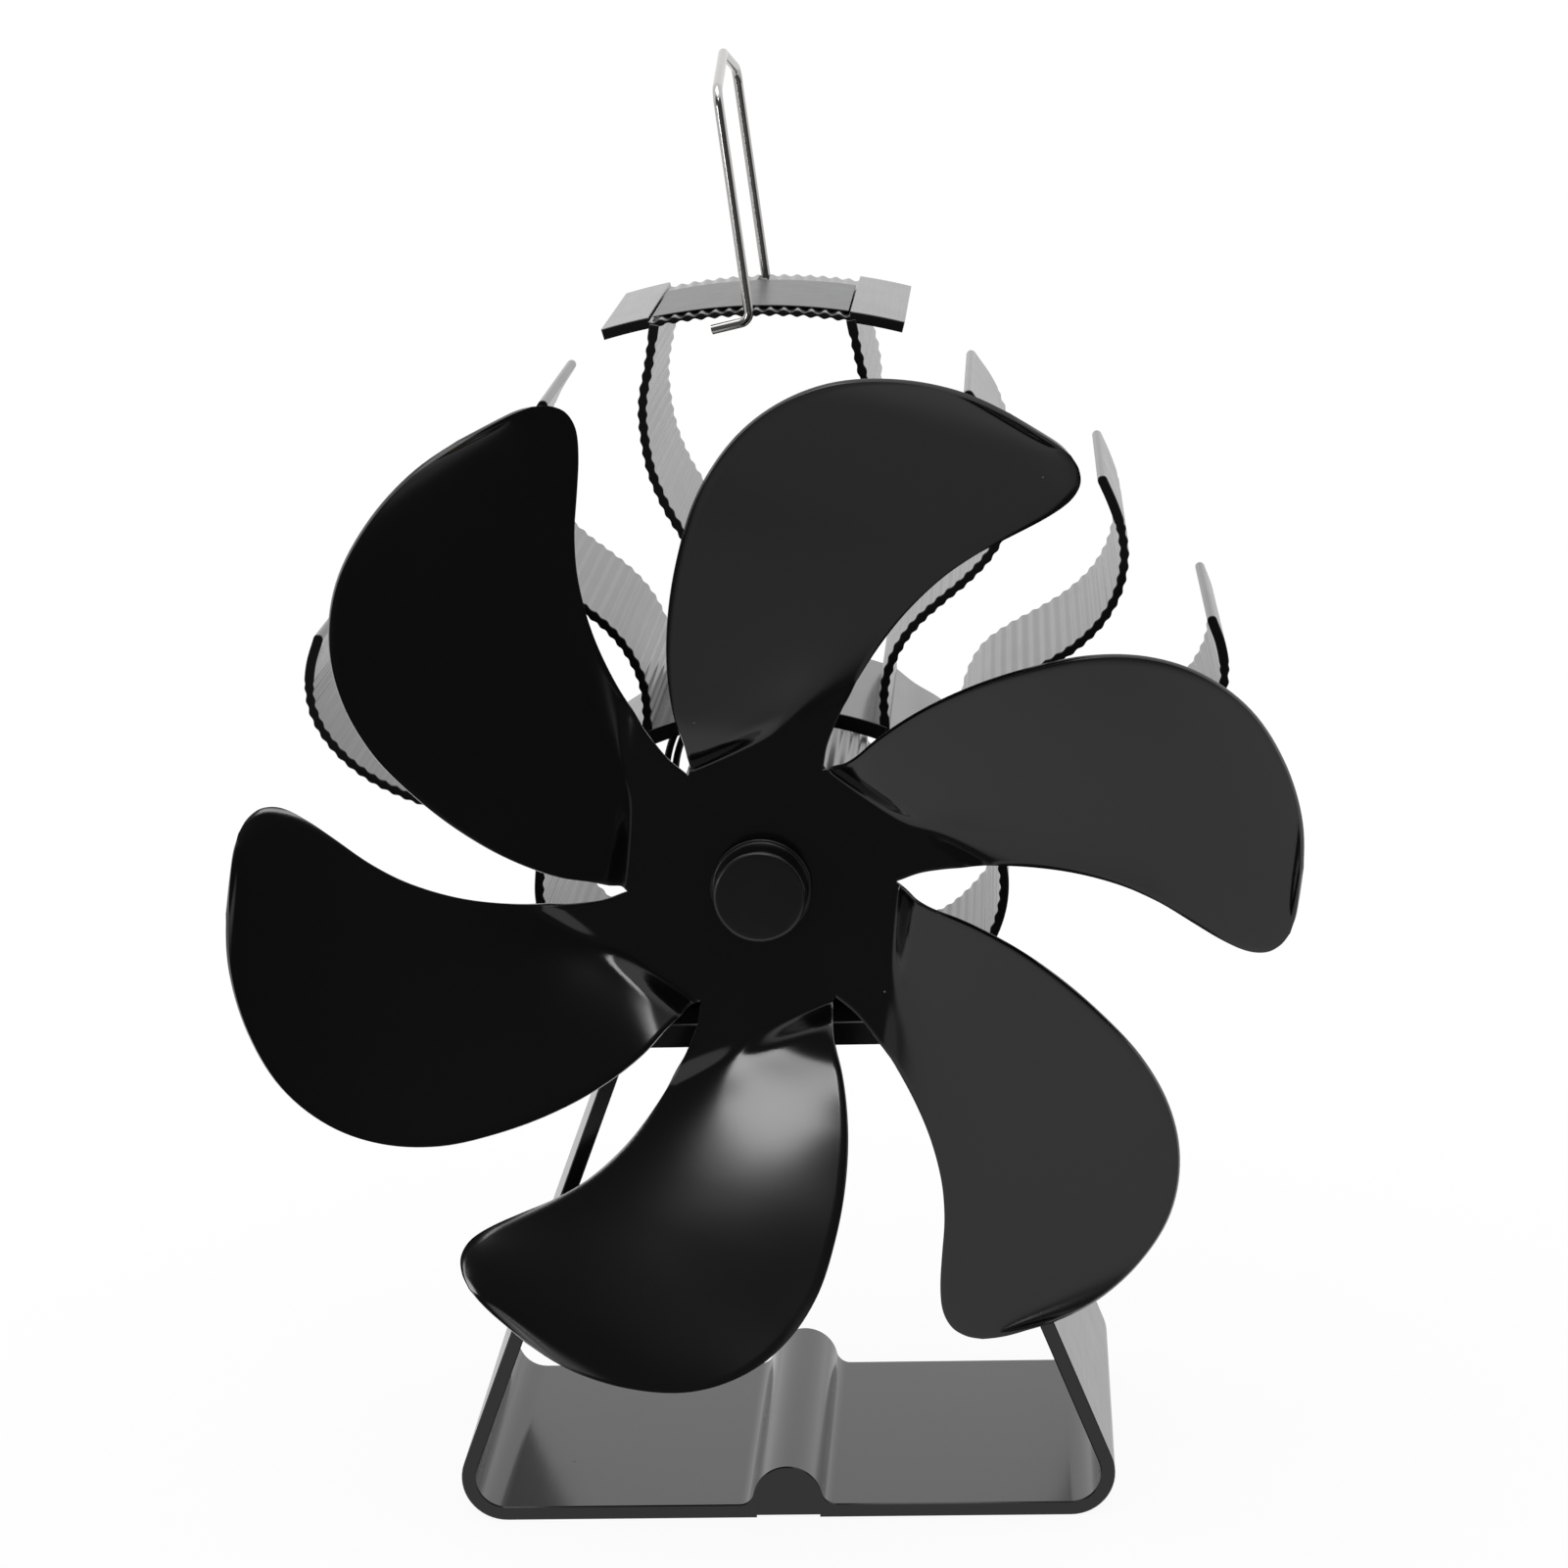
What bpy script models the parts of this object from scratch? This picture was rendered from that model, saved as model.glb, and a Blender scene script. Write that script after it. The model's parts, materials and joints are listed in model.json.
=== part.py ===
"""Heat-powered stove fan: an extruded stand and heat sink, a thermoelectric module, a motor and six blades.

Units are metres. +Z is up, +X is to the right and the blades face -Y. The origin lies on the ground,
in the middle of the whole fan.
"""
import math

import bmesh
import bpy
from mathutils import Matrix, Vector

FULL_TURN = 2 * math.pi
QUARTER_TURN = math.pi / 2
WELD = 0.000001            # merge distance for caps and seams
OVERRUN = 0.001            # how far every cutter runs past the faces that it cuts
GAP = 0.0003               # clearance between pieces that touch
SMOOTH_ANGLE = math.radians(35)

# Steps round a turned piece, by its size
FINE_STEPS = 40
PLAIN_STEPS = 32
SMALL_STEPS = 20
ARC_STEPS = 6              # points in a rounded corner
ROUTE_STEPS = 12           # samples between two points of a smooth route

# Rotor: one pressed sheet with six swept blades
BLADE_COUNT = 6
BLADE_TIP_RADIUS = 0.0820
SHEET_THICKNESS = 0.0009
BLADE_RAKE_FRONT = 0.0118  # how far the outer edge leans towards the viewer
BLADE_RAKE_BACK = 0.0045   # how far the inner edge leans back
BLADE_START_ANGLE = math.radians(1.2)
BLADE_COLUMNS = 5          # cells across a blade
BLADE_STEPS = 2            # rows between two points of an edge's table
HUB_RINGS_SHARES = (0.62,)
SHEET_BORE_RADIUS = 0.0039
ROTOR_STANDOFF = 0.0143    # sheet's middle plane in front of the stand

# Stand
STAND_DEPTH = 0.0640
STAND_HALF_WIDTH = 0.0526
STAND_WALL = 0.0023
STAND_CORNER_RADIUS = 0.0072
WINDOW_TOP = 0.0791        # underside of the block on top of the stand
WINDOW_CORNER_RADIUS = 0.0010
BLOCK_THICKNESS = 0.0038
BLOCK_EDGE_RADIUS = 0.0008
BLOCK_MARGIN = 0.00545      # a clamp screw's middle to the block's side
RIDGE_RADIUS = 0.0056
RIDGE_CENTRE_HEIGHT = 0.0031
RIDGE_FILLET = 0.0024
RELIEF_HALF_WIDTH = 0.0051  # shallow relief under the ridge
RELIEF_DEPTH = 0.0004

# Heat sink: one extrusion with ribbed fins
SINK_DEPTH = 0.0463
SINK_LIFT = 0.0009         # air gap between the stand and the sink's foot
FOOT_HALF_WIDTH = 0.0215
FOOT_HEIGHT = 0.0045
FIN_THICKNESS = 0.0014
RIB_PITCH = 0.0019
RIB_DEPTH = 0.00022
FIN_SMOOTH_TIP = 0.0075    # length at a fin's tip without ribs
FIN_SMOOTH_ROOT = 0.0025
ARCH_THICKNESS = 0.0019    # plain web that carries the inner fins and the posts
TUBE_BORE_RADIUS = 0.0142
TUBE_WALL = 0.0016
TUBE_RIB_DEPTH = 0.0003
TUBE_RIBS = 50
STEM_HALF_WIDTH = 0.0055
STEM_HEIGHT = 0.0047       # from the foot's top to the motor tube

# Places on the sink, with heights above the shaft's axis
WAIST_HALF_WIDTH = 0.0364
WAIST_DROP = 0.0024        # below the axis
ARCH_HALF_WIDTH = 0.0186
ARCH_END_LIFT = 0.0186
ARCH_RISE = 0.0036
POST_ROOT_HALF_WIDTH = 0.0045
POST_TOP_HALF_WIDTH = 0.0151
FIN_B_TIP_X = 0.0328
FIN_B_TIP_LIFT = 0.0711
FIN_C_TIP_X = 0.0531
FIN_C_TIP_LIFT = 0.0574
FIN_D_TIP_X = 0.0697
FIN_D_TIP_LIFT = 0.0351
FIN_C_ROOT_SHARE = 0.54    # where fin C leaves the shoulder, along the shoulder's length
PLATE_HALF_WIDTH = 0.0231
PLATE_CROWN_LIFT = 0.0857  # top of the plate in its middle
PLATE_SAG = 0.0031         # drop from the crown to the plate's ends
PLATE_THICKNESS = 0.0017
PLATE_RIBBED_HALF_WIDTH = 0.0156

# Thermoelectric module, its graphite pads and the screws that clamp it
MODULE_SIDE = 0.0300
MODULE_THICKNESS = 0.0032
PAD_THICKNESS = 0.00025
THERMAL_GAP = 0.0001       # film of paste between two layers
STAND_POCKET_DEPTH = 0.0020
POCKET_CLEARANCE = 0.0005
CLAMP_SPACING = 0.0372
CLAMP_SHANK_RADIUS = 0.0014
CLAMP_HEAD_RADIUS = 0.0027
CLAMP_HEAD_HEIGHT = 0.0019
CLAMP_THREAD_LENGTH = 0.0032
CLAMP_SLOT_WIDTH = 0.0006
CLAMP_SLOT_DEPTH = 0.0008
WASHER_RADIUS = 0.0026
WASHER_THICKNESS = 0.0007
BUSH_FLANGE_RADIUS = 0.0033
BUSH_FLANGE_THICKNESS = 0.0008
BUSH_WALL = 0.0005

# Motor
CAN_RADIUS = 0.0122
CAN_LENGTH = 0.0308
CAN_WALL = 0.0008
CAN_RECESS = 0.0012        # can's face behind the sink's face
CAN_BOSS_RADIUS = 0.0050
CAN_BOSS_LENGTH = 0.0022
SLEEVE_LENGTH = 0.0290
SHAFT_RADIUS = 0.0015
SHAFT_CLEARANCE = 0.00007
BUSH_RADIUS = 0.0031
FRONT_BUSH_LENGTH = 0.0034
REAR_BUSH_LENGTH = 0.0030
MAGNET_THICKNESS = 0.0019
MAGNET_LENGTH = 0.0210
MAGNET_HALF_ANGLE = math.radians(68)
AIR_GAP = 0.0005
CORE_LENGTH = 0.0150
CORE_SETBACK = 0.0052      # core's front behind the can's face
CORE_HUB_RADIUS = 0.0034
POLE_COUNT = 3
POLE_NECK_WIDTH = 0.0028
POLE_SHOE_THICKNESS = 0.0014
POLE_HALF_ANGLE = math.radians(50)
WINDING_THICKNESS = 0.0013
COMMUTATOR_RADIUS = 0.0028
COMMUTATOR_LENGTH = 0.0044
END_CAP_THICKNESS = 0.0030
END_CAP_SETBACK = 0.0006
TERMINAL_SPACING = 0.0130
TERMINAL_WIDTH = 0.0024
TERMINAL_THICKNESS = 0.0005
TERMINAL_REACH = 0.0042    # length behind the end cap
TERMINAL_TAIL = 0.0030     # length in front of the end cap
BRUSH_LENGTH_SHARE = 0.8   # of the commutator's length
BRUSH_THICKNESS = 0.0006

# Hub
COLLAR_RADIUS = 0.0060
COLLAR_LENGTH = 0.0062
SPIGOT_RADIUS = 0.0036
SPIGOT_LENGTH = 0.0042
GRUB_RADIUS = 0.0010
GRUB_LENGTH = 0.0036
NUT_HALF_FLATS = 0.0044
NUT_THICKNESS = 0.0022
CAP_RADIUS = 0.0071
CAP_LENGTH = 0.0062
CAP_WALL = 0.0011
CAP_EDGE_RADIUS = 0.0006
CAP_RIM_WIDTH = 0.0006
CAP_RIM_LENGTH = 0.0010

# Bare nameplate on the top plate
LABEL_HALF_WIDTH = 0.0151
LABEL_DEPTH = 0.0360
LABEL_THICKNESS = 0.0005
LABEL_SETBACK = 0.0006

# Carry handle: a bent wire hooked round the top plate's front and back edges
WIRE_RADIUS = 0.00075
HANDLE_LEAN = math.radians(6.8)
HANDLE_SHOULDER = 0.0351   # height of the upper bends above the pivot
HANDLE_APEX = 0.0392
HANDLE_APEX_RADIUS = 0.0016
HANDLE_BEND_RADIUS = 0.0030
HANDLE_HOOK_RADIUS = 0.0017
HOOK_LENGTH = 0.0060
HOOK_REACH = 0.0012        # how far the tail runs in under the plate
HOOK_DROP = 0.0004         # how far the tail falls away from the plate
HANDLE_PIVOT_X = 0.0006
HANDLE_PIVOT_DROP = 0.0022  # pivot below the plate's crown, at the lower bends

# Leads from the module to the motor
LEAD_RADIUS = 0.0006
LEAD_SPACING = 0.0015
LEAD_BULGE_RADIUS = 0.0185  # inner lead's distance from the shaft's axis beside the tube
LEAD_DIP_HEIGHT = 0.0040    # above the shaft's axis, where the leads turn into the tube
LEAD_TURN_SHARE = 0.25       # of the way from the last bend to the tube's middle, where a lead turns in
LEAD_TURN_RADIUS = 0.0170   # outer lead's distance from the axis where it turns in on the right
LEAD_OUTER_DEGREES = (222, 195, 170, 148, 126, 104, 82, 62, 44, 28, 16)
LEAD_INNER_DEGREES = (222, 195, 170, 148)
LEAD_SETBACK = 0.0016      # leads' middle behind the sink's rear face
CHANNEL_HALF_WIDTH = 0.0024
CHANNEL_HEIGHT = 0.0016    # above the sink's foot
CHANNEL_X = -0.0050

# Outer edge of a blade from the hub to the tip: radius as a share of the tip radius, degrees round
# the hub, and depth as a share of the forward rake
OUTER_EDGE_SHARES = (
    (0.249, 120.0, 0.00), (0.268, 116.6, 0.20), (0.310, 113.3, 0.45), (0.370, 111.4, 0.65),
    (0.462, 107.8, 0.80), (0.559, 103.7, 0.90), (0.656, 99.6, 0.97), (0.754, 95.5, 1.00),
    (0.842, 90.8, 0.97), (0.911, 85.6, 0.92), (0.962, 79.5, 0.83), (0.989, 72.9, 0.70),
    (1.000, 66.3, 0.54), (0.996, 60.2, 0.34),
)
# Inner edge, paired with it: the depth is a share of the backward rake
INNER_EDGE_SHARES = (
    (0.249, 60.0, 0.00), (0.290, 62.6, 0.10), (0.330, 63.3, 0.16), (0.380, 63.2, 0.20),
    (0.462, 62.4, 0.20), (0.559, 60.6, 0.22), (0.656, 57.9, 0.35), (0.730, 55.2, 0.52),
    (0.802, 52.2, 0.76), (0.860, 50.2, 0.92), (0.909, 49.2, 1.00), (0.946, 49.4, 0.90),
    (0.970, 50.6, 0.65), (0.984, 52.3, 0.35),
)
TIP_SHARE = (0.991, 55.0, 0.0)
BLADE_BOW_SHARES = (1.7, 1.0)   # how hollow the sheet lies across the root and the tip

# Routes of the sink's members, as shares of the way from one end to the other in X and in Z
SHOULDER_SHARES = ((0, 0), (0.18, 0.13), (0.40, 0.25), (0.61, 0.40), (0.80, 0.58), (0.93, 0.78), (1, 1))
BOWL_SHARES = (
    (0, 0), (-0.02, 0.20), (0.02, 0.39), (0.12, 0.57), (0.26, 0.70), (0.43, 0.82), (0.61, 0.915),
    (0.81, 0.975), (1, 1),
)
POST_SHARES = (
    (0, 0), (0, 0.085), (0.03, 0.18), (0.14, 0.28), (0.36, 0.37), (0.66, 0.457), (0.95, 0.548),
    (1.14, 0.643), (1.217, 0.748), (1.20, 0.82), (1.11, 0.893), (1, 1),
)
FIN_B_SHARES = (
    (0, 0), (0, 0.105), (0.05, 0.18), (0.187, 0.26), (0.39, 0.33), (0.655, 0.393), (0.93, 0.453),
    (1.194, 0.528), (1.374, 0.62), (1.417, 0.723), (1.345, 0.822), (1.20, 0.916), (1, 1),
)
FIN_C_SHARES = (
    (0, 0), (0, 0.10), (0.05, 0.195), (0.16, 0.279), (0.345, 0.342), (0.594, 0.404), (0.795, 0.463),
    (0.973, 0.541), (1.09, 0.635), (1.14, 0.738), (1.123, 0.84), (1.07, 0.922), (1, 1),
)
FIN_D_SHARES = (
    (0, 0), (0.11, 0.06), (0.25, 0.157), (0.385, 0.233), (0.527, 0.29), (0.658, 0.34), (0.779, 0.40),
    (0.894, 0.482), (0.985, 0.581), (1.04, 0.686), (1.055, 0.79), (1.04, 0.895), (1, 1),
)

# Places worked out from the sizes above
SHEET_HALF = SHEET_THICKNESS / 2
STAND_FRONT = (ROTOR_STANDOFF + BLADE_RAKE_FRONT + SHEET_HALF - STAND_DEPTH) / 2
STAND_BACK = STAND_FRONT + STAND_DEPTH
SHEET_Y = STAND_FRONT - ROTOR_STANDOFF
BLOCK_TOP = WINDOW_TOP + BLOCK_THICKNESS
BLOCK_HALF_WIDTH = CLAMP_SPACING / 2 + BLOCK_MARGIN
CORNER_TO_EDGE = Vector((BLOCK_HALF_WIDTH - STAND_HALF_WIDTH + STAND_CORNER_RADIUS, BLOCK_TOP - STAND_CORNER_RADIUS))
# The leaning side touches the lower corner's arc and ends at the block's upper edge
STAND_LEAN = math.atan2(CORNER_TO_EDGE.y, CORNER_TO_EDGE.x) - math.acos(STAND_CORNER_RADIUS / CORNER_TO_EDGE.length)
SINK_FRONT = STAND_FRONT + (STAND_DEPTH - SINK_DEPTH) / 2
SINK_BACK = SINK_FRONT + SINK_DEPTH
SINK_MIDDLE = SINK_FRONT + SINK_DEPTH / 2
FOOT_BOTTOM = BLOCK_TOP + SINK_LIFT
STACK_BOTTOM = BLOCK_TOP - STAND_POCKET_DEPTH
STACK_HEIGHT = MODULE_THICKNESS + 2 * PAD_THICKNESS + 4 * THERMAL_GAP
STACK_TOP = STACK_BOTTOM + STACK_HEIGHT
POCKET_SIDE = MODULE_SIDE + 2 * POCKET_CLEARANCE
TUBE_RADIUS = TUBE_BORE_RADIUS + TUBE_WALL
SHAFT_HEIGHT = FOOT_BOTTOM + FOOT_HEIGHT + STEM_HEIGHT + TUBE_RADIUS
WAIST_HEIGHT = SHAFT_HEIGHT - WAIST_DROP
ARCH_END_HEIGHT = SHAFT_HEIGHT + ARCH_END_LIFT
ARCH_TOP = ARCH_END_HEIGHT + ARCH_RISE
FIN_B_TIP_Z = SHAFT_HEIGHT + FIN_B_TIP_LIFT
FIN_C_TIP_Z = SHAFT_HEIGHT + FIN_C_TIP_LIFT
FIN_D_TIP_Z = SHAFT_HEIGHT + FIN_D_TIP_LIFT
PLATE_CROWN = SHAFT_HEIGHT + PLATE_CROWN_LIFT
PLATE_ARC_RADIUS = (PLATE_HALF_WIDTH ** 2 + PLATE_SAG ** 2) / (2 * PLATE_SAG)
CAN_FRONT = SINK_FRONT + CAN_RECESS
CAN_BACK = CAN_FRONT + CAN_LENGTH
END_CAP_BACK = CAN_BACK - END_CAP_SETBACK
END_CAP_FRONT = END_CAP_BACK - END_CAP_THICKNESS
MAGNET_OUTER = CAN_RADIUS - CAN_WALL - GAP
MAGNET_INNER = MAGNET_OUTER - MAGNET_THICKNESS
CORE_RADIUS = MAGNET_INNER - AIR_GAP
CORE_FRONT = CAN_FRONT + CORE_SETBACK
CORE_BACK = CORE_FRONT + CORE_LENGTH
SHAFT_BORE = SHAFT_RADIUS + SHAFT_CLEARANCE
SHEET_FRONT = SHEET_Y - SHEET_HALF
COLLAR_FRONT = SHEET_Y + SHEET_HALF + GAP
SPIGOT_FRONT = COLLAR_FRONT - SPIGOT_LENGTH
CAP_BACK = SHEET_FRONT - GAP
CAP_FRONT = CAP_BACK - CAP_LENGTH
HANDLE_PIVOT_Z = PLATE_CROWN - HANDLE_PIVOT_DROP


def clear_scene():
    for item in list(bpy.data.objects):
        bpy.data.objects.remove(item, do_unlink=True)


def new_collection(name):
    group = bpy.data.collections.new(name)
    bpy.context.scene.collection.children.link(group)
    return group


def principled(name, colour, roughness, metallic=0.0):
    material = bpy.data.materials.new(name)
    material.use_nodes = True
    shader = material.node_tree.nodes["Principled BSDF"]
    shader.inputs["Base Color"].default_value = (*colour, 1.0)
    shader.inputs["Roughness"].default_value = roughness
    shader.inputs["Metallic"].default_value = metallic
    return material


clear_scene()
PARTS = new_collection("stove_fan")
CUTTERS = new_collection("cutters")
SINK_MEMBERS = new_collection("sink_members")

BLACK_ANODISED = principled("black_anodised", (0.020, 0.020, 0.021), 0.38, 0.6)
BLACK_PAINT = principled("black_paint", (0.010, 0.010, 0.010), 0.16)
BLACK_PLASTIC = principled("black_plastic", (0.015, 0.015, 0.015), 0.35)
BLACK_RUBBER = principled("black_rubber", (0.018, 0.018, 0.018), 0.7)
STAINLESS = principled("stainless", (0.62, 0.61, 0.59), 0.18, 1.0)
LABEL_GREY = principled("label_grey", (0.13, 0.13, 0.13), 0.35, 0.4)
ZINC = principled("zinc", (0.55, 0.56, 0.58), 0.32, 1.0)
FERRITE = principled("ferrite", (0.06, 0.06, 0.065), 0.6)
CERAMIC = principled("ceramic", (0.82, 0.82, 0.79), 0.5)
GRAPHITE = principled("graphite", (0.05, 0.05, 0.055), 0.45, 0.3)
BRONZE = principled("bronze", (0.45, 0.30, 0.16), 0.4, 1.0)
BRASS = principled("brass", (0.60, 0.45, 0.20), 0.3, 1.0)
COPPER = principled("copper", (0.60, 0.26, 0.13), 0.35, 1.0)
NYLON = principled("nylon", (0.70, 0.68, 0.62), 0.5)


def add_object(name, data, group=PARTS):
    item = bpy.data.objects.new(name, data)
    group.objects.link(item)
    return item


def add_piece(name, data, material):
    """Puts a finished shape among the parts and gives it its material."""
    item = add_object(name, data)
    data.materials.clear()
    data.materials.append(material)
    return item


def shade(mesh):
    mesh.shade_smooth()
    mesh.set_sharp_from_angle(angle=SMOOTH_ANGLE)


def mesh_from_curve(source):
    """Turns a curve object into a closed mesh in world space and removes the curve."""
    bpy.context.view_layer.update()
    graph = bpy.context.evaluated_depsgraph_get()
    mesh = bpy.data.meshes.new_from_object(source.evaluated_get(graph))
    mesh.transform(source.matrix_world)
    curve = source.data
    bpy.data.objects.remove(source, do_unlink=True)
    bpy.data.curves.remove(curve)
    form = bmesh.new()
    form.from_mesh(mesh)
    bmesh.ops.remove_doubles(form, verts=form.verts, dist=WELD)
    bmesh.ops.recalc_face_normals(form, faces=form.faces)
    form.to_mesh(mesh)
    form.free()
    return mesh


def outline_mesh(loops, front, back):
    """Closed solid of flat loops of (x, z) points between two Y planes."""
    curve = bpy.data.curves.new("outline", "CURVE")
    curve.dimensions = "2D"
    curve.fill_mode = "BOTH"
    curve.extrude = (back - front) / 2
    for loop in loops:
        spline = curve.splines.new("POLY")
        spline.points.add(len(loop) - 1)
        for point, (x, z) in zip(spline.points, loop):
            point.co = (x, z, 0, 1)
        spline.use_cyclic_u = True
    mesh = mesh_from_curve(add_object("outline", curve, CUTTERS))
    upright = Matrix(((1, 0, 0, 0), (0, 0, -1, (front + back) / 2), (0, 1, 0, 0), (0, 0, 0, 1)))
    mesh.transform(upright)
    return mesh


def box_mesh(low, high):
    """Box between two corners."""
    form = bmesh.new()
    bmesh.ops.create_cube(form, size=1)
    size = Vector(high) - Vector(low)
    middle = (Vector(high) + Vector(low)) / 2
    bmesh.ops.scale(form, vec=size, verts=form.verts)
    bmesh.ops.translate(form, vec=middle, verts=form.verts)
    mesh = bpy.data.meshes.new("box")
    form.to_mesh(mesh)
    form.free()
    return mesh


def rod_mesh(radius, start, end, steps=SMALL_STEPS):
    """Straight round rod between two points."""
    start = Vector(start)
    end = Vector(end)
    run = end - start
    form = bmesh.new()
    turn = run.to_track_quat("Z", "Y").to_matrix().to_4x4()
    bmesh.ops.create_cone(
        form, cap_ends=True, segments=steps, radius1=radius, radius2=radius, depth=run.length,
        matrix=Matrix.Translation((start + end) / 2) @ turn)
    mesh = bpy.data.meshes.new("rod")
    form.to_mesh(mesh)
    form.free()
    return mesh


def make_cutter(mesh):
    cutter = add_object("cutter", mesh, CUTTERS)
    cutter.hide_render = True
    cutter.display_type = "WIRE"
    return cutter


def cut(item, *meshes):
    """Subtracts each mesh from a piece."""
    for mesh in meshes:
        modifier = item.modifiers.new("cut", "BOOLEAN")
        modifier.operation = "DIFFERENCE"
        modifier.solver = "EXACT"
        modifier.object = make_cutter(mesh)


def turned(name, profile, place, material, steps=PLAIN_STEPS, closed=True, axis="Y"):
    """Turned piece. The profile is (radius, setback) pairs down the outer side from the front face.

    The axis runs back along +Y, or down from the place along -Z.
    """
    mesh = bpy.data.meshes.new(name)
    vertices = [(radius, 0, -setback) for radius, setback in profile]
    edges = [(i, i + 1) for i in range(len(profile) - 1)]
    if closed:
        edges.append((len(profile) - 1, 0))
    mesh.from_pydata(vertices, edges, [])
    item = add_piece(name, mesh, material)
    item.location = place
    if axis == "Y":
        item.rotation_euler = (QUARTER_TURN, 0, 0)
    screw = item.modifiers.new("turn", "SCREW")
    screw.steps = steps
    screw.render_steps = steps
    screw.use_merge_vertices = True
    screw.merge_threshold = WELD
    screw.use_smooth_shade = False
    return item


def ring(name, outer, inner, length, front, material, steps=PLAIN_STEPS):
    """Plain tube round the shaft's axis."""
    profile = ((outer, 0), (outer, length), (inner, length), (inner, 0))
    return turned(name, profile, (0, front, SHAFT_HEIGHT), material, steps)


def arc(centre, radius, start, end, steps=ARC_STEPS):
    """Points on a circular arc, with angles in radians."""
    points = []
    for i in range(steps + 1):
        angle = start + (end - start) * i / steps
        points.append((centre[0] + radius * math.cos(angle), centre[1] + radius * math.sin(angle)))
    return points


def mirrored(points, side):
    return [(side * x, z) for x, z in points]


def catmull(points, steps=ROUTE_STEPS):
    """Smooth curve through points of any dimension."""
    points = [Vector(point) for point in points]
    padded = [2 * points[0] - points[1], *points, 2 * points[-1] - points[-2]]
    curve = []
    for i in range(1, len(padded) - 2):
        a, b, c, d = padded[i - 1:i + 3]
        for k in range(steps):
            t = k / steps
            curve.append(0.5 * (2 * b + (c - a) * t + (2 * a - 5 * b + 4 * c - d) * t ** 2
                                + (3 * b - a - 3 * c + d) * t ** 3))
    curve.append(points[-1])
    return curve


def lengths_along(curve):
    total = [0.0]
    for a, b in zip(curve, curve[1:]):
        total.append(total[-1] + (b - a).length)
    return total


def point_at(curve, share):
    """Point at a share of a curve's length."""
    lengths = lengths_along(curve)
    target = share * lengths[-1]
    for i in range(len(curve) - 1):
        if lengths[i + 1] >= target:
            step = (target - lengths[i]) / (lengths[i + 1] - lengths[i])
            return curve[i].lerp(curve[i + 1], step)
    return curve[-1]


def route(start, end, shares):
    """Smooth route between two points in X and Z, shaped by shares of the way."""
    points = []
    for across, up in shares:
        points.append((start[0] + across * (end[0] - start[0]), start[1] + up * (end[1] - start[1])))
    return catmull(points)


def strip_loop(curve, thickness, left_ribs=True, right_ribs=True, smooth_start=0.0, smooth_end=0.0,
               round_end=False):
    """Outline of a strip along a curve, with a rib at every second sample of either side."""
    length = lengths_along(curve)[-1]
    count = max(4, 2 * round(length / RIB_PITCH))
    samples = [point_at(curve, i / count) for i in range(count + 1)]
    left = []
    right = []
    for i, point in enumerate(samples):
        ahead = samples[min(i + 1, count)] - samples[max(i - 1, 0)]
        normal = Vector((-ahead.y, ahead.x)).normalized()
        place = length * i / count
        ribbed = i % 2 == 1 and smooth_start < place < length - smooth_end
        left.append(point + normal * (thickness / 2 - (RIB_DEPTH if ribbed and left_ribs else 0)))
        right.append(point - normal * (thickness / 2 - (RIB_DEPTH if ribbed and right_ribs else 0)))
    loop = [tuple(point) for point in left]
    if round_end:
        way = samples[-1] - samples[-2]
        heading = math.atan2(way.y, way.x)
        turn = arc(samples[-1], thickness / 2, heading + QUARTER_TURN, heading - QUARTER_TURN)
        loop += turn[1:-1]
    loop += [tuple(point) for point in reversed(right)]
    return loop


def plate_height(x):
    """Middle of the top plate's thickness at X."""
    drop = PLATE_ARC_RADIUS - math.sqrt(PLATE_ARC_RADIUS ** 2 - x ** 2)
    return PLATE_CROWN - PLATE_THICKNESS / 2 - drop


def stand_side(height, inset=0.0):
    """Half width of the stand's leaning side at a height, measured to a plane inset from its outside."""
    cos_lean = math.cos(STAND_LEAN)
    corner_x = STAND_HALF_WIDTH - STAND_CORNER_RADIUS
    touch_x = corner_x + STAND_CORNER_RADIUS * cos_lean
    touch_z = STAND_CORNER_RADIUS * (1 + math.sin(STAND_LEAN))
    return touch_x - (height - touch_z) * math.tan(STAND_LEAN) - inset / cos_lean


def stand_outer_loop():
    corner = (STAND_HALF_WIDTH - STAND_CORNER_RADIUS, STAND_CORNER_RADIUS)
    right = [(RELIEF_HALF_WIDTH, RELIEF_DEPTH), (RELIEF_HALF_WIDTH, 0)]
    right += arc(corner, STAND_CORNER_RADIUS, -QUARTER_TURN, STAND_LEAN)
    top_x = stand_side(BLOCK_TOP)
    edge = (top_x - BLOCK_EDGE_RADIUS, BLOCK_TOP - BLOCK_EDGE_RADIUS)
    right += arc(edge, BLOCK_EDGE_RADIUS, 0, QUARTER_TURN, ARC_STEPS // 2)
    return right + mirrored(reversed(right), -1)


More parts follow.
